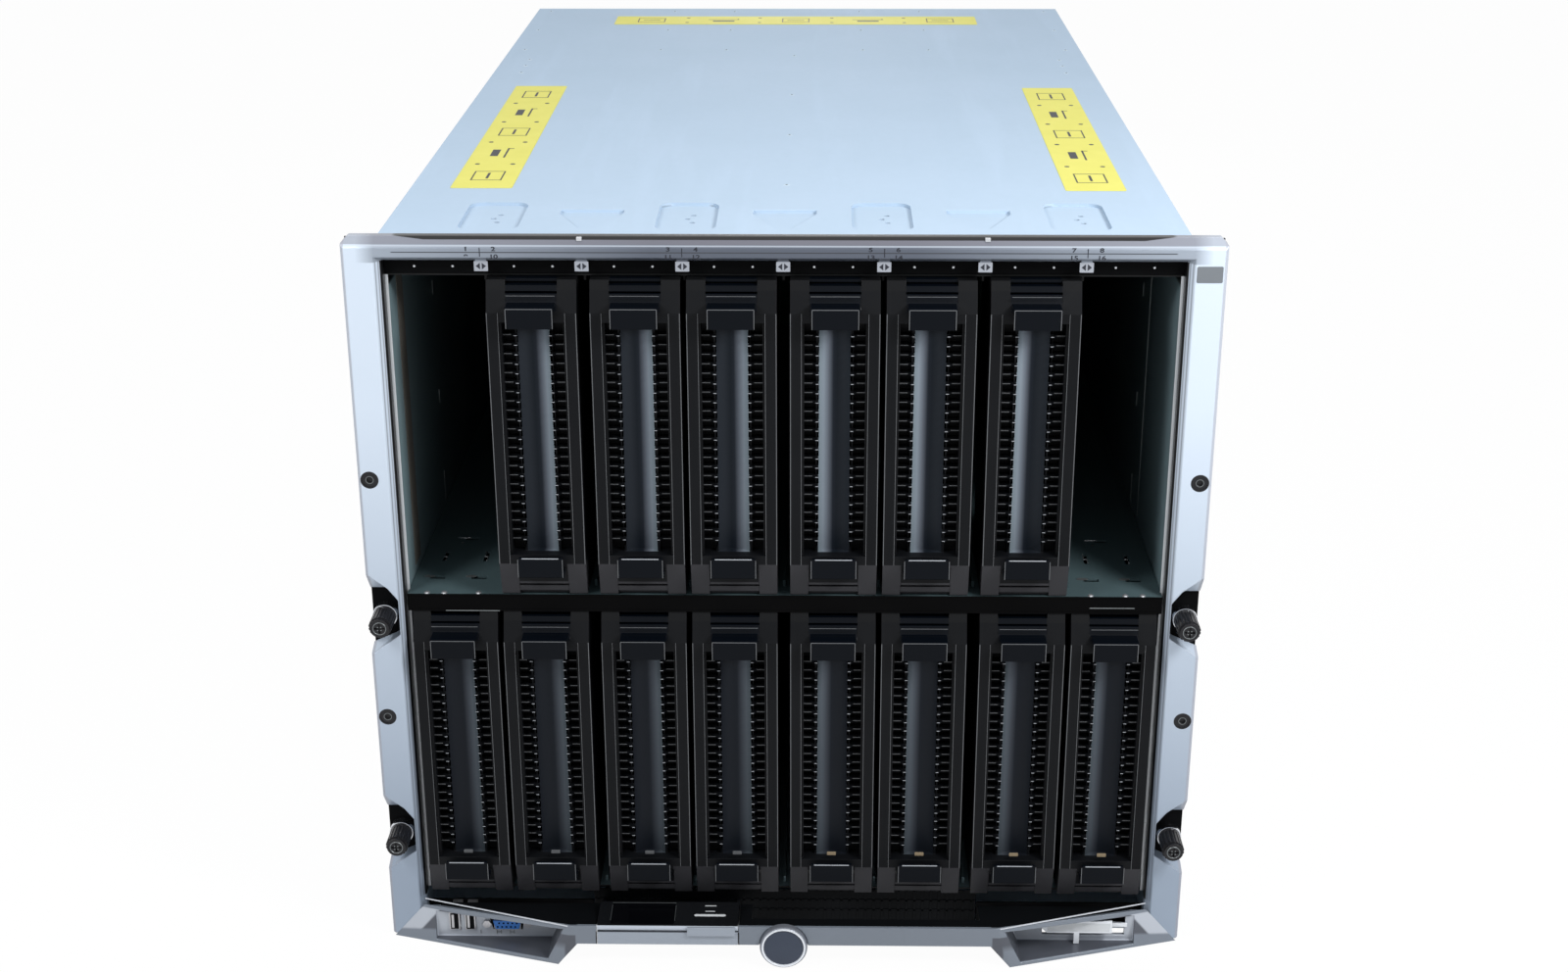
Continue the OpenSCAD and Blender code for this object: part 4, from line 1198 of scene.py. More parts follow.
@dataclass
class Cover:
    """Yellow sheets and rivets on the top cover."""

    sheets: tuple[tuple[float, float, float, float], ...] = (
        (-200.0, -163.0, 109.0, 414.0),
        (165.0, 201.0, 105.0, 409.0),
        (-152.0, 151.0, 674.0, 713.0),
    )
    cells: int = 5
    thickness: float = 0.25
    dot_r: float = 1.6
    dot_offset: float = 11.0
    rivet_r: float = 2.0
    rivet_rows: tuple[float, ...] = (738.0, 646.0, 558.0)
    rivet_columns: tuple[float, ...] = (212.0, 105.0, 53.5)
    side_rivets: tuple[float, ...] = (516.0, 492.0, 465.0)
    side_x: float = 203.0
    middle_rivets: tuple[float, ...] = (533.0, 384.0, 254.0, 118.0)

    def yellow_sheets(self) -> None:
        """Lays the yellow sheets with their dividers and plain marks."""
        z = LAYOUT.body_h
        ink = Casting()
        for k, (x0, x1, y0, y1) in enumerate(self.sheets):
            middle = ((x0 + x1) / 2, (y0 + y1) / 2)
            outline = rounded_rectangle(*middle, x1 - x0, y1 - y0, 1.5)
            sheet = Casting().plate(outline, Axis.Z, z, self.thickness, 0.08)
            sheet.cast(f"yellow_sheet_{k + 1}", "chassis", PALETTE.yellow)
            top = z + self.thickness
            long_x = x1 - x0 > y1 - y0
            start, end = (x0, x1) if long_x else (y0, y1)
            across = middle[1] if long_x else middle[0]
            for i in range(1, self.cells):
                at = start + (end - start) * i / self.cells
                spot = (at, across) if long_x else (across, at)
                for side in (-1, 1):
                    off = side * self.dot_offset
                    dot = (spot[0], spot[1] + off, top) if long_x else (spot[0] + off, spot[1], top)
                    ink.rod(dot, self.dot_r, HAIR, Axis.Z, 16)
            for i in range(self.cells):
                at = start + (end - start) * (i + 0.5) / self.cells
                spot = (at, across) if long_x else (across, at)
                self.mark(ink, spot, top, i, long_x)
        ink.cast("yellow_sheet_marks", "chassis", PALETTE.ink)

    def mark(self, ink: Casting, spot: Point, top: float, kind: int, long_x: bool) -> None:
        """Draws one plain mark: a frame or an arrow.

        Args:
            ink: The casting that takes the marks.
            spot: The mark's middle.
            top: The height of the sheet's face.
            kind: Which cell it fills.
            long_x: Whether the sheet runs along X.
        """
        def put(a: float, b: float, w: float, d: float) -> None:
            """Adds one bar.

            Args:
                a: Its middle along the sheet.
                b: Its middle across the sheet.
                w: Its length along the sheet.
                d: Its width across the sheet.
            """
            if long_x:
                ink.block(spot[0] + a, spot[1] + b - d / 2, top, w, d, HAIR)
            else:
                ink.block(spot[0] + b, spot[1] + a - w / 2, top, d, w, HAIR)

        if kind % 2 == 0:
            for b in (-9.0, 9.0):
                put(0.0, b, 22.0, 0.9)
            for a in (-11.0, 11.0):
                put(a, 0.0, 0.9, 18.9)
            put(0.0, 0.0, 14.0, 1.6)
        else:
            put(0.0, 3.0, 26.0, 1.2)
            put(0.0, -4.0, 18.0, 5.0)
            put(12.0, 4.4, 1.2, 4.0)

    def rivets(self) -> None:
        """Sets the rivets and small holes of the cover."""
        z = LAYOUT.body_h
        spots = [(s * x, y) for y in self.rivet_rows for x in self.rivet_columns for s in (-1, 1)]
        spots += [(s * self.side_x, y) for y in self.side_rivets for s in (-1, 1)]
        spots += [(0.0, y) for y in self.middle_rivets]
        heads, holes = Casting(), Casting()
        r = self.rivet_r
        profile = [(0.0, 0.35), (r * 0.5, 0.3), (r, 0.0), (r + 0.3, -0.1)]
        for x, y in spots:
            heads.lathe(profile, (x, y, z), Axis.Z, 16)
            # a dark disc of painted shade for the rivet's hole
            holes.rod((x, y, z + 0.3), 0.6, 0.12, Axis.Z, 12)
        heads.cast("cover_rivets", "chassis", PALETTE.shell)
        holes.cast("cover_rivet_holes", "chassis", PALETTE.hole)

    def build(self) -> None:
        """Builds everything on the cover."""
        self.yellow_sheets()
        self.rivets()


@dataclass
class BezelMarks:
    """Slot numbers, pointer arrows, painted shade and highlights round the screws, and the bare label on
    the bezel.
    """

    number_size: float = 3.4
    number_wide: float = 1.4
    number_z: tuple[float, float] = (435.8, 431.5)
    number_x: float = 7.5
    pairs: tuple[float, ...] = (-165.0, -55.0, 55.0, 165.0)
    screw_x: float = 234.5
    screw_z: tuple[float, float] = (151.2, 301.7)
    tab_z: float = 426.6
    label: tuple[float, ...] = (231.6, 423.4, 14.2, 9.2, 0.8)

    def number(self, text: str, x: float, z: float) -> bpy.types.Mesh:
        """Makes the flat shape of a number on the bar.

        Args:
            text: The number.
            x: Its middle.
            z: Its foot.

        Returns:
            Its mesh, in millimetres.
        """
        curve = bpy.data.curves.new("number", "FONT")
        curve.body = text
        curve.size = self.number_size
        curve.offset = 0.09
        curve.align_x = "CENTER"
        maker = bpy.data.objects.new("number", curve)
        data = bpy.data.meshes.new_from_object(maker)
        bpy.data.objects.remove(maker)
        place = Matrix.Translation((x, LAYOUT.front - HAIR, z)) @ Matrix.Rotation(math.pi / 2, 4, "X")
        data.transform(place @ Matrix.Diagonal((self.number_wide, 1.0, 1.0, 1.0)))
        return data

    def numbers(self) -> None:
        """Prints the slot numbers and their dividing ticks."""
        ink = Casting()
        for k, x in enumerate(self.pairs):
            for row, z in enumerate(self.number_z):
                for side in (0, 1):
                    text = str(1 + 2 * k + side + 8 * row)
                    data = self.number(text, x + (2 * side - 1) * self.number_x, z)
                    ink.mesh.from_mesh(data)
                    bpy.data.meshes.remove(data)
            ink.block(x, LAYOUT.front - HAIR, 432.6, 0.5, HAIR, 5.0)
        ink.cast("slot_numbers", "chassis", PALETTE.ink)

    def pointers(self) -> None:
        """Draws the two dark arrows on each pointer tab and pales its face."""
        ink, faces = Casting(), Casting()
        y = LAYOUT.front + 2.6
        for k in range(-3, 4):
            x = k * LAYOUT.pitch
            faces.plate(rounded_rectangle(x, self.tab_z, 7.6, 5.6, 0.3), Axis.Y, y - 0.06, 0.06)
            for side in (-1, 1):
                foot = x + side * 0.5
                outline = [(foot, 424.7), (foot, 428.5), (x + side * 2.8, self.tab_z)]
                ink.plate(outline, Axis.Y, y - 0.06 - HAIR, HAIR)
        faces.cast("pointer_faces", "chassis", PALETTE.pointer)
        ink.cast("pointer_arrows", "chassis", PALETTE.ink)

    def recess_shades(self) -> None:
        """Rings each bezel screw with painted shade for its recess and a painted highlight on its socket
        rim.
        """
        dark, bright = Casting(), Casting()
        # painted shade for the screw's recess, and a painted highlight on its socket rim
        recess_shade = [(4.3, -0.1), (5.0, -0.1), (5.2, 0.0), (4.3, 0.0), (4.3, -0.1)]
        socket = [(2.0, -0.05), (2.35, -0.05), (2.35, 0.0), (2.0, 0.0), (2.0, -0.05)]
        for side in (-1, 1):
            for z in self.screw_z:
                x = side * self.screw_x
                dark.lathe(recess_shade, (x, LAYOUT.front, z), Axis.Y, 40)
                bright.lathe(socket, (x, LAYOUT.front + 0.25, z), Axis.Y, 24)
        dark.cast("screw_recess_shades", "chassis", PALETTE.screw)
        bright.cast("socket_highlights", "chassis", PALETTE.dull_steel)

    def ceiling_rivets(self) -> None:
        """Sets a pair of small bright rivets over each slot."""
        rivets = Casting()
        for slot in range(1, 9):
            for side in (-10.6, 10.6):
                x = LAYOUT.slot_x(slot) + side
                rivets.lathe([(0.0, -0.7), (0.6, -0.55), (0.9, 0.0)], (x, -1.5, 424.2), Axis.Y, 12)
        rivets.cast("ceiling_rivets", "chassis", PALETTE.bright_steel)

    def build(self) -> None:
        """Builds everything on the bezel."""
        self.numbers()
        self.pointers()
        self.recess_shades()
        self.ceiling_rivets()
        label = Casting().plate(rounded_rectangle(*self.label), Axis.Y, LAYOUT.front - 0.15, 0.15)
        label.cast("bare_label", "chassis", PALETTE.grey_label)
        clips = Casting()
        for x in (-111.0, 111.0):
            clips.block(x, -9.6, 440.6, 3.0, 2.6, 1.9, 0.2)
        clips.cast("cover_clips", "chassis", PALETTE.bright_steel)


@dataclass
class BladeBays:
    """Painted highlights on the wall edges, wall marks and deck marks inside the bays."""

    wall_x: float = 219.05
    deck_z: float = 228.9
    strip_z: float = 233.2
    louvre_y: float = 135.0
    louvres: tuple[Point, ...] = ((371.5, 9.0), (300.5, 9.0), (240.0, 20.0))
    screws: tuple[float, ...] = (-207.5, -197.5, -177.5, 177.5, 197.5, 207.5)

    def edges(self) -> None:
        """Paints a highlight strip down the lit front edge of each side wall."""
        wall_highlight = Casting()
        for side in (-1, 1):
            wall_highlight.block(side * 219.1, -1.2, 28.2, 1.7, 1.1, 391.0, 0.2)
        wall_highlight.cast("wall_edge_highlights", "chassis", PALETTE.zinc)

    def walls(self) -> None:
        """Adds the strip, the seam and the small louvres of the side walls."""
        strip = Casting()
        strip.block(-self.wall_x + 0.15, 24.0, self.strip_z, 0.3, 17.0, 180.0, 0.1)
        strip.cast("wall_strip", "chassis", PALETTE.foam)
        marks = Casting()
        marks.block(self.wall_x - 0.2, 105.0, self.strip_z, 0.4, 0.8, 182.0, 0.1)
        for side in (-1, 1):
            x = side * (self.wall_x - 0.25)
            for z, h in self.louvres:
                turns = (k * math.pi / 6 for k in range(12))
                lens = [(self.louvre_y + 0.55 * math.sin(a), z + h / 2 * math.cos(a)) for a in turns]
                marks.plate(lens, Axis.X, x - 0.2, 0.4)
        marks.cast("wall_marks", "chassis", PALETTE.dull_steel)

    def deck(self) -> None:
        """Adds the spring hooks, dashes and screws of the shelf's deck."""
        bright, dull, z = Casting(), Casting(), self.deck_z
        for slot in range(1, 9):
            x = LAYOUT.slot_x(slot)
            bright.block(x - 5.5, 75.0, z, 8.0, 1.0, 0.25, 0.1)
            dull.rod((x - 5.5, 68.0, z), 0.9, 0.2, Axis.Z, 12)
            for side in (-12.3, 12.3):
                bright.block(x + side - 0.9, 46.5, z, 0.5, 8.5, 0.3, 0.1)
                bright.block(x + side + 0.9, 40.5, z, 0.5, 7.0, 0.3, 0.1)
                bright.block(x + side, 46.0, z, 2.2, 0.7, 0.3, 0.1)
                dull.plate(self.oval(x + side - 5.0, 17.5, 3.4, 1.7), Axis.Z, z, 0.15)
        for x in self.screws:
            bright.lathe([(0.0, 0.7), (1.2, 0.6), (1.9, 0.0)], (x, -5.7, z), Axis.Z, 16)
        bright.cast("deck_springs", "chassis", PALETTE.bright_steel)
        dull.cast("deck_bosses", "chassis", PALETTE.dull_steel)

    def oval(self, x: float, y: float, a: float, b: float) -> list[Point]:
        """Corners of an oval about (x, y) with half widths a and b."""
        turns = (k * math.pi / 10 for k in range(20))
        return [(x + a * math.cos(turn), y + b * math.sin(turn)) for turn in turns]

    def shelf_front(self) -> None:
        """Adds a thin painted highlight on the shelf's edge over each lower slot."""
        lines = Casting()
        for x, z, w in ((-181.0, 218.3, 31.5), (189.9, 221.7, 26.0)):
            lines.block(x, -8.25, z, w, 0.25, 0.6, 0.1)
        lines.cast("shelf_lip_highlights", "chassis", PALETTE.dull_steel)

    def intake(self) -> None:
        """Closes the intake with a black perforated screen."""
        screen = Casting()
        screen.block(0.0, -1.0, 5.8, 235.0, 0.4, 21.4)
        for k in range(47):
            screen.block(-115.0 + 5.0 * k, -1.5, 6.2, 1.4, 0.5, 20.4)
        for z in (12.6, 19.4):
            screen.block(0.0, -1.5, z, 234.0, 0.5, 1.0)
        screen.cast("intake_screen", "chassis", PALETTE.tray)

    def build(self) -> None:
        """Builds everything in the bays."""
        self.edges()
        self.walls()
        self.deck()
        self.shelf_front()
        self.intake()


@dataclass
class BladeBlanks:
    """Painted edge highlights, painted glints on the fin tips, and windows that ride on each blank."""

    foot_h: float = 21.3
    crown_z: float = 171.5
    frame_w: float = 6.5
    tab_half: float = 12.7
    tab_z: tuple[float, float] = (17.2, 165.6)
    tab_y: float = -23.0
    fin_count: int = 23
    fin_z: float = 34.9
    fin_pitch: float = 5.56

    def edges(self, grey_and_highlight: Casting, x: float, z: float) -> None:
        """Paints highlights on the edges of the frame and of the two finger tabs.

        Args:
            grey_and_highlight: The casting that takes the edges.
            x: The blank's middle.
            z: The blank's foot.
        """
        y, half = LAYOUT.blank_y, LAYOUT.blank_w / 2
        for side in (-1, 1):
            for edge, w in ((half - 0.25, 0.42), (half - self.frame_w + 0.2, 0.26)):
                grey_and_highlight.block(x + side * edge, y - 0.1, z + self.foot_h, w, 0.15, self.crown_z - self.foot_h)
            for foot in self.tab_z:
                grey_and_highlight.block(x + side * self.tab_half, self.tab_y - 0.05, z + foot, 0.4, 0.1, 11.0)
        grey_and_highlight.block(x, self.tab_y - 0.05, z + 176.5, 2 * self.tab_half, 0.1, 0.4)
        # a painted highlight line across the crown
        grey_and_highlight.block(x, y - 0.2, z + 181.2, 27.0, 0.3, 0.3)

    def fins(self, grey_and_highlight: Casting, glint: Casting, x: float, z: float) -> None:
        """Paints highlights on the front edges and glints on the tips of the fins.

        Args:
            grey_and_highlight: The casting that takes the edges.
            glint: The casting that takes the tips.
            x: The blank's middle.
            z: The blank's foot.
        """
        y = LAYOUT.blank_y
        for k in range(self.fin_count):
            height = z + self.fin_z + k * self.fin_pitch + 0.2
            for side in (-1, 1):
                grey_and_highlight.block(x + side * 14.6, y + 5.4, height, 4.6, 0.12, 0.3)
                glint.block(x + side * 9.7, y + 3.1, height, 1.6, 0.12, 0.3)

    def build(self) -> None:
        """Builds the painted edge highlights, the painted fin-tip glints and the window of every blank.
        """
        for slot in BLANKS:
            body = f"blank_{slot:02d}"
            x, z = LAYOUT.blank_x(slot), LAYOUT.blank_z(slot)
            grey_and_highlight, glint = Casting(), Casting()
            self.edges(grey_and_highlight, x, z)
            self.fins(grey_and_highlight, glint, x, z)
            # a painted glint along the top of the lower finger tab
            glint.block(x, self.tab_y + 0.1, z + 28.45, 21.0, 0.55, 0.45, 0.1)
            grey_and_highlight.cast(f"{body}_painted_edge_highlights", body, PALETTE.grey_and_highlight)
            glint.cast(f"{body}_painted_glints", body, PALETTE.glint)
            if slot > 8:
                window = rounded_rectangle(x, z + 31.4, 5.4, 2.0, 0.4)
                finish = PALETTE.tan if slot > 12 else PALETTE.grey_and_highlight
                pane = Casting().plate(window, Axis.Y, LAYOUT.blank_y - 1.0, 1.0, 0.15)
                pane.cast(f"{body}_window", body, finish)


@dataclass
class RearDetails:
    """Fan screens, inlet frames, lights and port rims at the back."""

    face_y: float = 754.0
    psu_pitch: float = 73.783
    psu_z: float = 3.3
    psu_half: float = 35.99
    module_pitch: float = 147.567
    module_z: float = 401.7
    fan_x: float = -14.0
    fan_z: float = 70.0
    fan_r: float = 18.6
    light_x: float = 24.0

    def supply(self, number: int) -> None:
        """Dresses one power supply.

        Args:
            number: Its number, from 1.
        """
        body, y = f"power_supply_{number}", self.face_y
        x = (number - 3.5) * self.psu_pitch
        fan = (x + self.fan_x, y - 2.0, self.psu_z + self.fan_z)
        dark = Casting().rod(fan, self.fan_r, 0.15, Axis.Y, 48)
        inlet_x, inlet_z = x + self.psu_half - 22.0, self.psu_z + 23.0
        for side in (-1, 1):
            dark.block(inlet_x + side * 14.2, y, inlet_z - 12.0, 1.4, 0.6, 24.0, 0.2)
            dark.block(inlet_x, y, inlet_z + side * 11.6 - 0.7, 27.0, 0.6, 1.4, 0.2)
        for k in range(5):
            dark.block(x + self.fan_x, y, self.psu_z + 12.0 + 4.0 * k, 26.0, 0.15, 1.6)
        dark.cast(f"{body}_dark_parts", body, PALETTE.hole)
        lights = Casting()
        for z in (56.0, 48.0):
            spot = (x + self.light_x, y, self.psu_z + z)
            lights.lathe([(0.0, 0.7), (1.1, 0.5), (1.4, 0.0)], spot, Axis.Y, 20)
        lights.cast(f"{body}_lights", body, PALETTE.green_light)

    def module(self, body: str, x: float) -> None:
        """Dresses one of the modules in the top row.

        Args:
            body: The module's body.
            x: Its middle.
        """
        lights, seams = Casting(), Casting()
        for k in range(2):
            spot = (x - 8.0 + 5.0 * k, self.face_y, self.module_z + 26.0)
            lights.lathe([(0.0, 0.6), (0.9, 0.4), (1.2, 0.0)], spot, Axis.Y, 20)
        for z in (4.0, 30.0):
            seams.block(x, self.face_y, self.module_z + z, 134.0, 0.1, 0.4)
        for side in (-1, 1):
            spot = (x + side * 68.0, self.face_y, self.module_z + 17.0)
            seams.lathe([(0.0, 0.5), (1.8, 0.4), (2.4, 0.0)], spot, Axis.Y, 24)
        lights.cast(f"{body}_lights", body, PALETTE.green_light)
        seams.cast(f"{body}_seams", body, PALETTE.hole)

    def build(self) -> None:
        """Dresses the supplies and the modules."""
        for number in range(1, 7):
            self.supply(number)
        self.module("management_module_1", -self.module_pitch)
        self.module("kvm_module", 0.0)
        self.module("management_module_2", self.module_pitch)


@dataclass
class Thumbscrews:
    """Rings on the thumbscrew heads, and painted highlight dots where their cross recesses catch the
    light.
    """

    x: float = 232.5
    z: tuple[float, float] = (70.0, 215.0)
    face_y: float = -26.1
    ring: tuple[Point, ...] = ((3.5, 0.0), (3.6, -0.12), (3.9, -0.12), (4.0, 0.0), (3.5, 0.0))
    dot_offset: float = 0.95
    dot_r: float = 0.4

    def build(self) -> None:
        """Builds the marks of every head."""
        spots = [(side * self.x, self.face_y, z) for z in self.z for side in (-1, 1)]
        for number, spot in enumerate(spots, start=1):
            marks = Casting()
            marks.lathe(self.ring, spot, Axis.Y, 36)
            # four painted highlight dots stand for the lit sides of the cross recess
            for a, b in ((-1, -1), (1, -1), (-1, 1), (1, 1)):
                dot = (spot[0] + a * self.dot_offset, self.face_y - 0.1, spot[2] + b * self.dot_offset)
                marks.rod(dot, self.dot_r, 0.12, Axis.Y, 10)
            body = f"thumbscrew_{number}"
            marks.cast(f"{body}_marks", body, PALETTE.dull_steel)


@dataclass
class Chin:
    """Ports, the bare plate and the painted highlight along the chin's rim."""

    vga_x: float = -169.8
    vga_z: float = 11.0
    usb_x: Point = (-202.2, -192.6)
    rim_edge: tuple[Point, ...] = ((220.0, -13.2), (129.5, -43.0), (129.5, -42.2), (220.0, -12.7))
    rim_z: float = 26.3
    icon_y: float = -15.65
    icon_x: tuple[float, ...] = (-186.5, -176.5, -174.0, -168.5, -166.0)
    icon_bars: Point = (-175.2, -167.2)
    plate: tuple[Point, ...] = (
        (160.2, 11.2), (198.2, 11.2), (198.6, 17.0), (166.0, 17.0), (160.2, 14.0),
    )

    def rim(self) -> None:
        """Runs a thin painted highlight along the upper edge of each wing."""
        pale = Casting()
        for side in (-1, 1):
            outline = [(side * a, b) for a, b in self.rim_edge]
            # painted highlight along the wing's edge
            pale.plate(outline, Axis.Z, self.rim_z, 0.55)
        pale.cast("wing_edge_highlights", "chassis", PALETTE.pale_paint)

    def vga(self) -> None:
        """Builds the blue port with its black shell and pin holes."""
        x, z = self.vga_x, self.vga_z
        shell = [(x - 10.8, z + 3.9), (x - 8.8, z - 3.9), (x + 8.8, z - 3.9), (x + 10.8, z + 3.9)]
        face = [(x - 8.6, z + 2.8), (x - 7.2, z - 2.8), (x + 7.2, z - 2.8), (x + 8.6, z + 2.8)]
        Casting().plate(shell, Axis.Y, -16.6, 0.6, 0.15).cast("port_shell", "chassis", PALETTE.hole)
        Casting().plate(face, Axis.Y, -18.0, 1.6, 0.2).cast("port_insert", "chassis", PALETTE.port_blue)
        # the pin holes are dark discs of painted shade
        pins = Casting()
        for row in (1, -1):
            for k in range(-2, 3):
                pins.rod((x + k * 2.7 + row * 0.5, -18.08, z + row * 1.3), 0.62, 0.1, Axis.Y, 12)
        pins.cast("port_pins", "chassis", PALETTE.hole)

    def usb(self) -> None:
        """Builds the two upright ports."""
        frames, mouths = Casting(), Casting()
        for x in self.usb_x:
            frames.block(x, -16.7, 6.6, 6.6, 0.9, 12.4, 0.3)
            # a dark block of painted shade for the port's mouth
            mouths.block(x, -16.85, 7.3, 4.9, 0.2, 11.0)
            frames.block(x - 1.0, -17.0, 8.2, 1.5, 0.2, 9.2, 0.1)
        frames.cast("usb_frames", "chassis", PALETTE.nickel)
        mouths.cast("usb_mouths", "chassis", PALETTE.hole)

    def icons(self) -> None:
        """Draws the plain lines under the ports."""
        ink = Casting()
        for x in self.icon_x:
            ink.block(x, self.icon_y, 3.4, 0.4, 0.1, 2.6)
        for x in self.icon_bars:
            ink.block(x, self.icon_y, 4.4, 2.9, 0.1, 0.4)
        ink.cast("port_icons", "chassis", PALETTE.dull_steel)

    def plate_face(self) -> None:
        """Puts the pale bare face on the name plate."""
        face = Casting().plate(self.plate, Axis.Y, -21.0, 0.2, 0.05)
        face.cast("bare_plate", "chassis", PALETTE.white_mark)

    def build(self) -> None:
        """Builds everything on the chin."""
        self.rim()
        self.vga()
        self.usb()
        self.icons()
        self.plate_face()


@dataclass
class Display:
    """The screen, its frame and its marks on the display flap."""

    x0: float = -104.0
    x1: float = -65.9
    y0: float = -41.0
    y1: float = -18.0
    z: float = 27.3
    mark_x: float = -44.6
    tab_x: float = -43.3
    seams_x: Point = (-112.4, -27.0)
    front_y: float = -43.1

    def build(self) -> None:
        """Builds the display's pieces."""
        middle = ((self.x0 + self.x1) / 2, (self.y0 + self.y1) / 2)
        screen = rounded_rectangle(*middle, self.x1 - self.x0, self.y1 - self.y0, 0.8)
        Casting().plate(screen, Axis.Z, self.z, 0.12, 0.05).cast("screen", "lcd_panel", PALETTE.glass)
        marks = Casting()
        marks.plate(rounded_rectangle(self.mark_x, -31.0, 19.0, 2.2, 1.0), Axis.Z, self.z, 0.2, 0.08)
        for y, w, h in ((-26.5, 6.0, 0.8), (-20.5, 7.0, 0.9)):
            marks.plate(rounded_rectangle(self.mark_x, y, w, h, 0.3), Axis.Z, self.z, HAIR)
        marks.cast("display_marks", "lcd_panel", PALETTE.white_mark)
        edge = Casting()
        edge.block(middle[0], self.y1 + 0.2, self.z, self.x1 - self.x0 + 0.6, 0.4, 0.14, 0.05)
        for x in (self.x0 - 0.3, self.x1 + 0.3):
            edge.block(x, self.y0 + 4.0, self.z, 0.25, 17.0, 0.1)
        edge.cast("screen_edge", "lcd_panel", PALETTE.dull_steel)
        tab = Casting().block(self.tab_x, -44.65, 24.0, 28.2, 1.1, 3.3, 0.35)
        tab.cast("pull_tab_face", "lcd_carrier", PALETTE.pale_paint)
        seams = Casting()
        for x in self.seams_x:
            seams.block(x, self.front_y + 0.02, 14.6, 0.6, 0.1, 8.6)
        seams.cast("display_seams", "chassis", PALETTE.hole)
        step = Casting().block(-84.7, self.front_y, 23.1, 54.0, 0.12, 0.55)
        step.cast("carrier_step", "lcd_carrier", PALETTE.ink)


@dataclass
class Badge:
    """The bare round badge: a disc in a pale ring and a silver rim."""

    z: float = 14.6
    outer: float = 14.3
    face_y: float = -46.4

    def build(self) -> None:
        """Builds the disc and its rings."""
        spot = (0.0, self.face_y, self.z)
        r, mid, low = self.outer, self.outer - 1.0, self.outer - 2.4
        rim = [(mid, 0.5), (r - 0.5, 0.6), (r, 1.5), (r, 4.4), (mid, 4.4), (mid, 0.5)]
        ring = [(low, 0.5), (r - 2.1, -0.05), (r - 1.3, -0.15), (mid, 0.5), (mid, 3.0), (low, 3.0)]
        ring.append(ring[0])
        disc = [(0.0, 0.2), (r * 0.6, 0.35), (low, 0.8), (low, 2.0), (0.0, 2.0)]
        turned = Casting().lathe(rim, spot, Axis.Y, 96)
        turned.cast("badge_rim", "chassis", PALETTE.badge_rim, ("round_badge",))
        Casting().lathe(ring, spot, Axis.Y, 96).cast("badge_ring", "chassis", PALETTE.badge_ring)
        Casting().lathe(disc, spot, Axis.Y, 96).cast("badge_disc", "chassis", PALETTE.badge_disc)


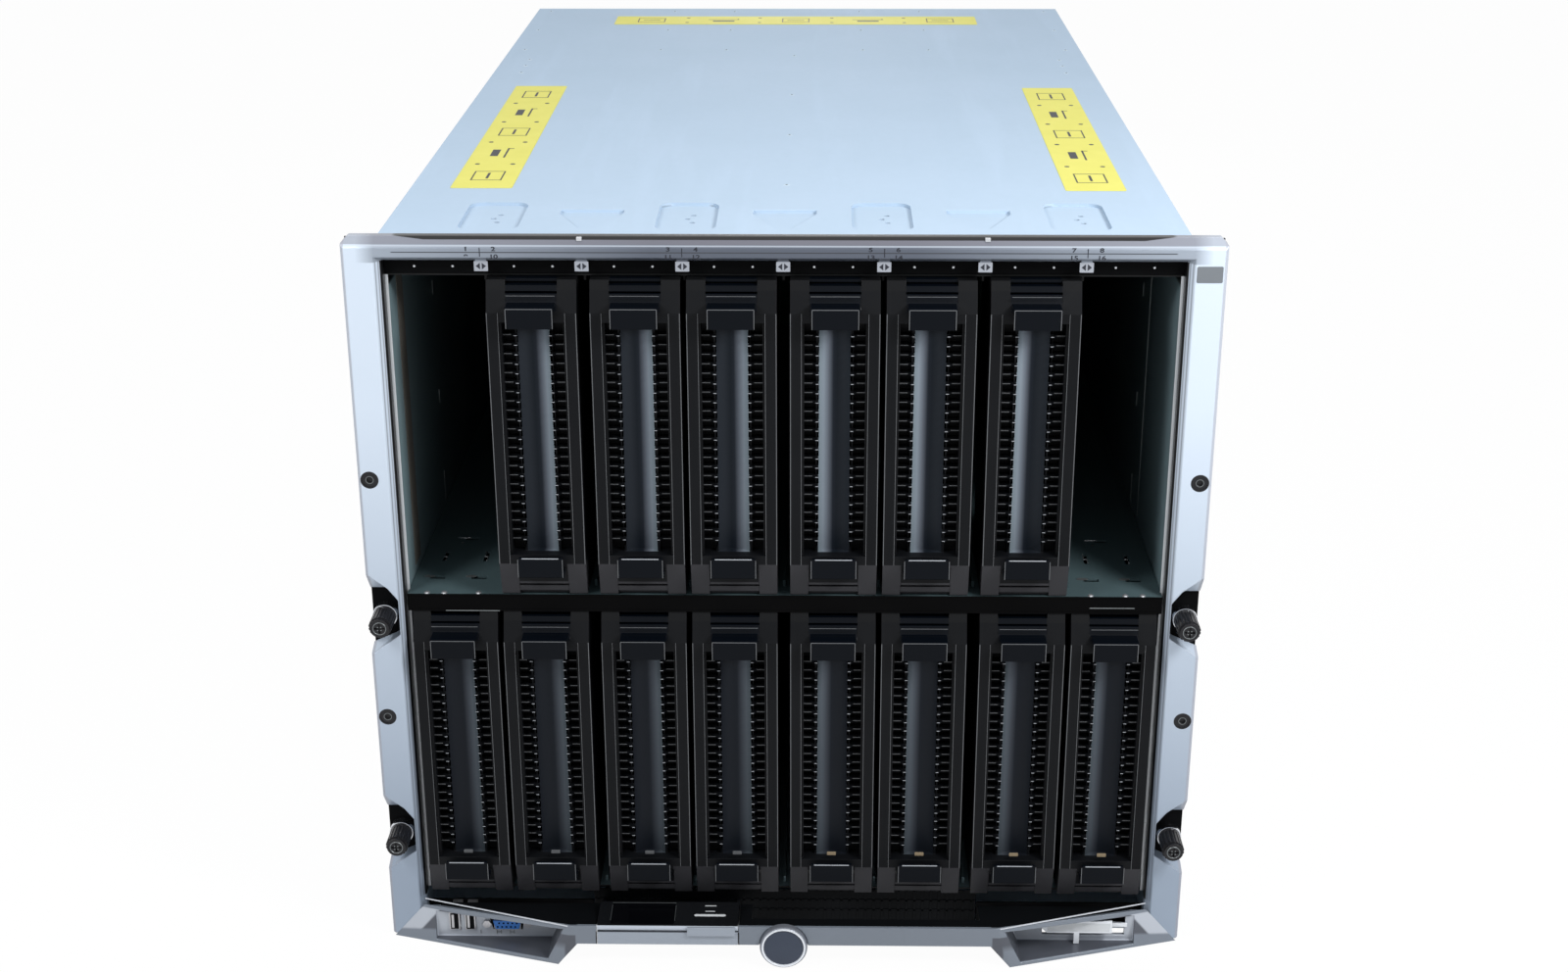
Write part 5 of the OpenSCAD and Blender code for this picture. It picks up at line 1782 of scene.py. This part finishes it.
@dataclass
class Studio:
    """The floor, the lights, the surroundings and the camera."""

    camera_at: Spot = (0.0188, -1.5338, 0.7537)
    lens: float = 50.03
    yaw: float = 0.0162036
    pitch: float = -0.3780946
    roll: float = 0.0019
    floor_r: float = 9.0
    floor_z: float = -0.0002
    floor_white: float = 0.97
    sky: Colour = (0.93, 0.96, 1.0)
    sky_strength: float = 0.44
    lamp_aim: Spot = (0.0, -0.1, 0.25)
    lamp_spread: float = 150.0
    sensor: float = 36.0
    lamps: tuple[tuple[str, Spot, float, float], ...] = (
        ("top", (0.0, 0.55, 2.3), 1.7, 10.0),
        ("left", (-0.70, -0.95, 0.98), 0.35, 4.0),
        ("right", (0.68, -0.90, 0.96), 0.35, 7.5),
        ("back", (0.0, 2.0, 0.36), 0.6, 5.0),
    )

    def floor(self) -> None:
        """Lays the pale floor, which shows white and keeps the shadow."""
        mesh = bmesh.new()
        bmesh.ops.create_circle(mesh, cap_ends=True, segments=96, radius=self.floor_r)
        data = bpy.data.meshes.new("floor")
        mesh.to_mesh(data)
        mesh.free()
        floor = bpy.data.objects.new("floor", data)
        bpy.context.scene.collection.objects.link(floor)
        floor.location.z = self.floor_z
        tree = Tree(bpy.data.materials.new("floor"))
        values = {"Base Color": (0.9, 0.9, 0.9), "Roughness": 0.9, "Specular IOR Level": 0.1}
        for key, value in values.items():
            tree.feed(tree.shader.inputs[key], value)
        out = tree.net.nodes["Material Output"].inputs[0]
        self.show_white(tree, tree.shader.outputs[0], out, self.floor_white)
        data.materials.append(tree.owner)

    def show_white(self, tree: Tree, lit: Any, out: Any, share: float) -> None:
        """Mixes white into what the camera, gloss and glass see.

        Args:
            tree: The tree that gets the nodes.
            lit: The shader that other rays see.
            out: The socket that takes the result.
            share: How much white is mixed in.
        """
        path = tree.add("LightPath")
        seen = Signal(tree, path.outputs["Is Camera Ray"]) + Signal(tree, path.outputs["Is Glossy Ray"])
        seen = (seen + Signal(tree, path.outputs["Is Transmission Ray"])).held() * share
        white = tree.add("Emission", None, {"Color": (1.0, 1.0, 1.0), "Strength": 1.0})
        mixed = tree.add("MixShader", None, {0: seen, 1: lit, 2: white.outputs[0]})
        tree.net.links.new(mixed.outputs[0], out)

    def surroundings(self) -> None:
        """Sets the soft light that comes from all round."""
        world = bpy.data.worlds.new("studio")
        bpy.context.scene.world = world
        tree = Tree(world)
        lit = tree.net.nodes["Background"]
        tree.feed(lit.inputs["Color"], self.sky)
        tree.feed(lit.inputs["Strength"], self.sky_strength)
        self.show_white(tree, lit.outputs[0], tree.net.nodes["World Output"].inputs[0], 1.0)

    def lights(self) -> None:
        """Hangs the lamps."""
        for name, spot, size, power in self.lamps:
            lamp = bpy.data.lights.new(name, "AREA")
            lamp.shape = "DISK"
            lamp.size = size
            lamp.energy = power
            lamp.spread = math.radians(self.lamp_spread)
            holder = bpy.data.objects.new(name, lamp)
            bpy.context.scene.collection.objects.link(holder)
            holder.location = spot
            aim = Vector(self.lamp_aim) - Vector(spot)
            holder.rotation_euler = aim.to_track_quat("-Z", "Y").to_euler()
            holder.visible_camera = False

    def camera(self) -> None:
        """Places the camera."""
        data = bpy.data.cameras.new("camera")
        data.lens = self.lens
        data.sensor_width = self.sensor
        data.clip_end = 100.0
        camera = bpy.data.objects.new("camera", data)
        bpy.context.scene.collection.objects.link(camera)
        turn = Matrix.Rotation(self.yaw, 4, "Z") @ Matrix.Rotation(self.pitch, 4, "X")
        turn = turn @ Matrix.Rotation(self.roll, 4, "Y") @ Matrix.Rotation(math.pi / 2, 4, "X")
        camera.matrix_world = Matrix.Translation(self.camera_at) @ turn
        bpy.context.scene.camera = camera

    def build(self) -> None:
        """Builds the studio."""
        bpy.context.scene.view_settings.view_transform = "Standard"
        self.floor()
        self.surroundings()
        self.lights()
        self.camera()


def main() -> None:
    """Builds the studio and every sub-assembly."""
    logging.basicConfig(level=logging.INFO, format="%(name)s: %(message)s")
    Studio().build()
    SolidSkins().build()
    Cover().build()
    BezelMarks().build()
    BladeBays().build()
    BladeBlanks().build()
    RearDetails().build()
    Thumbscrews().build()
    Chin().build()
    Display().build()
    Badge().build()


if __name__ == "__main__":
    main()
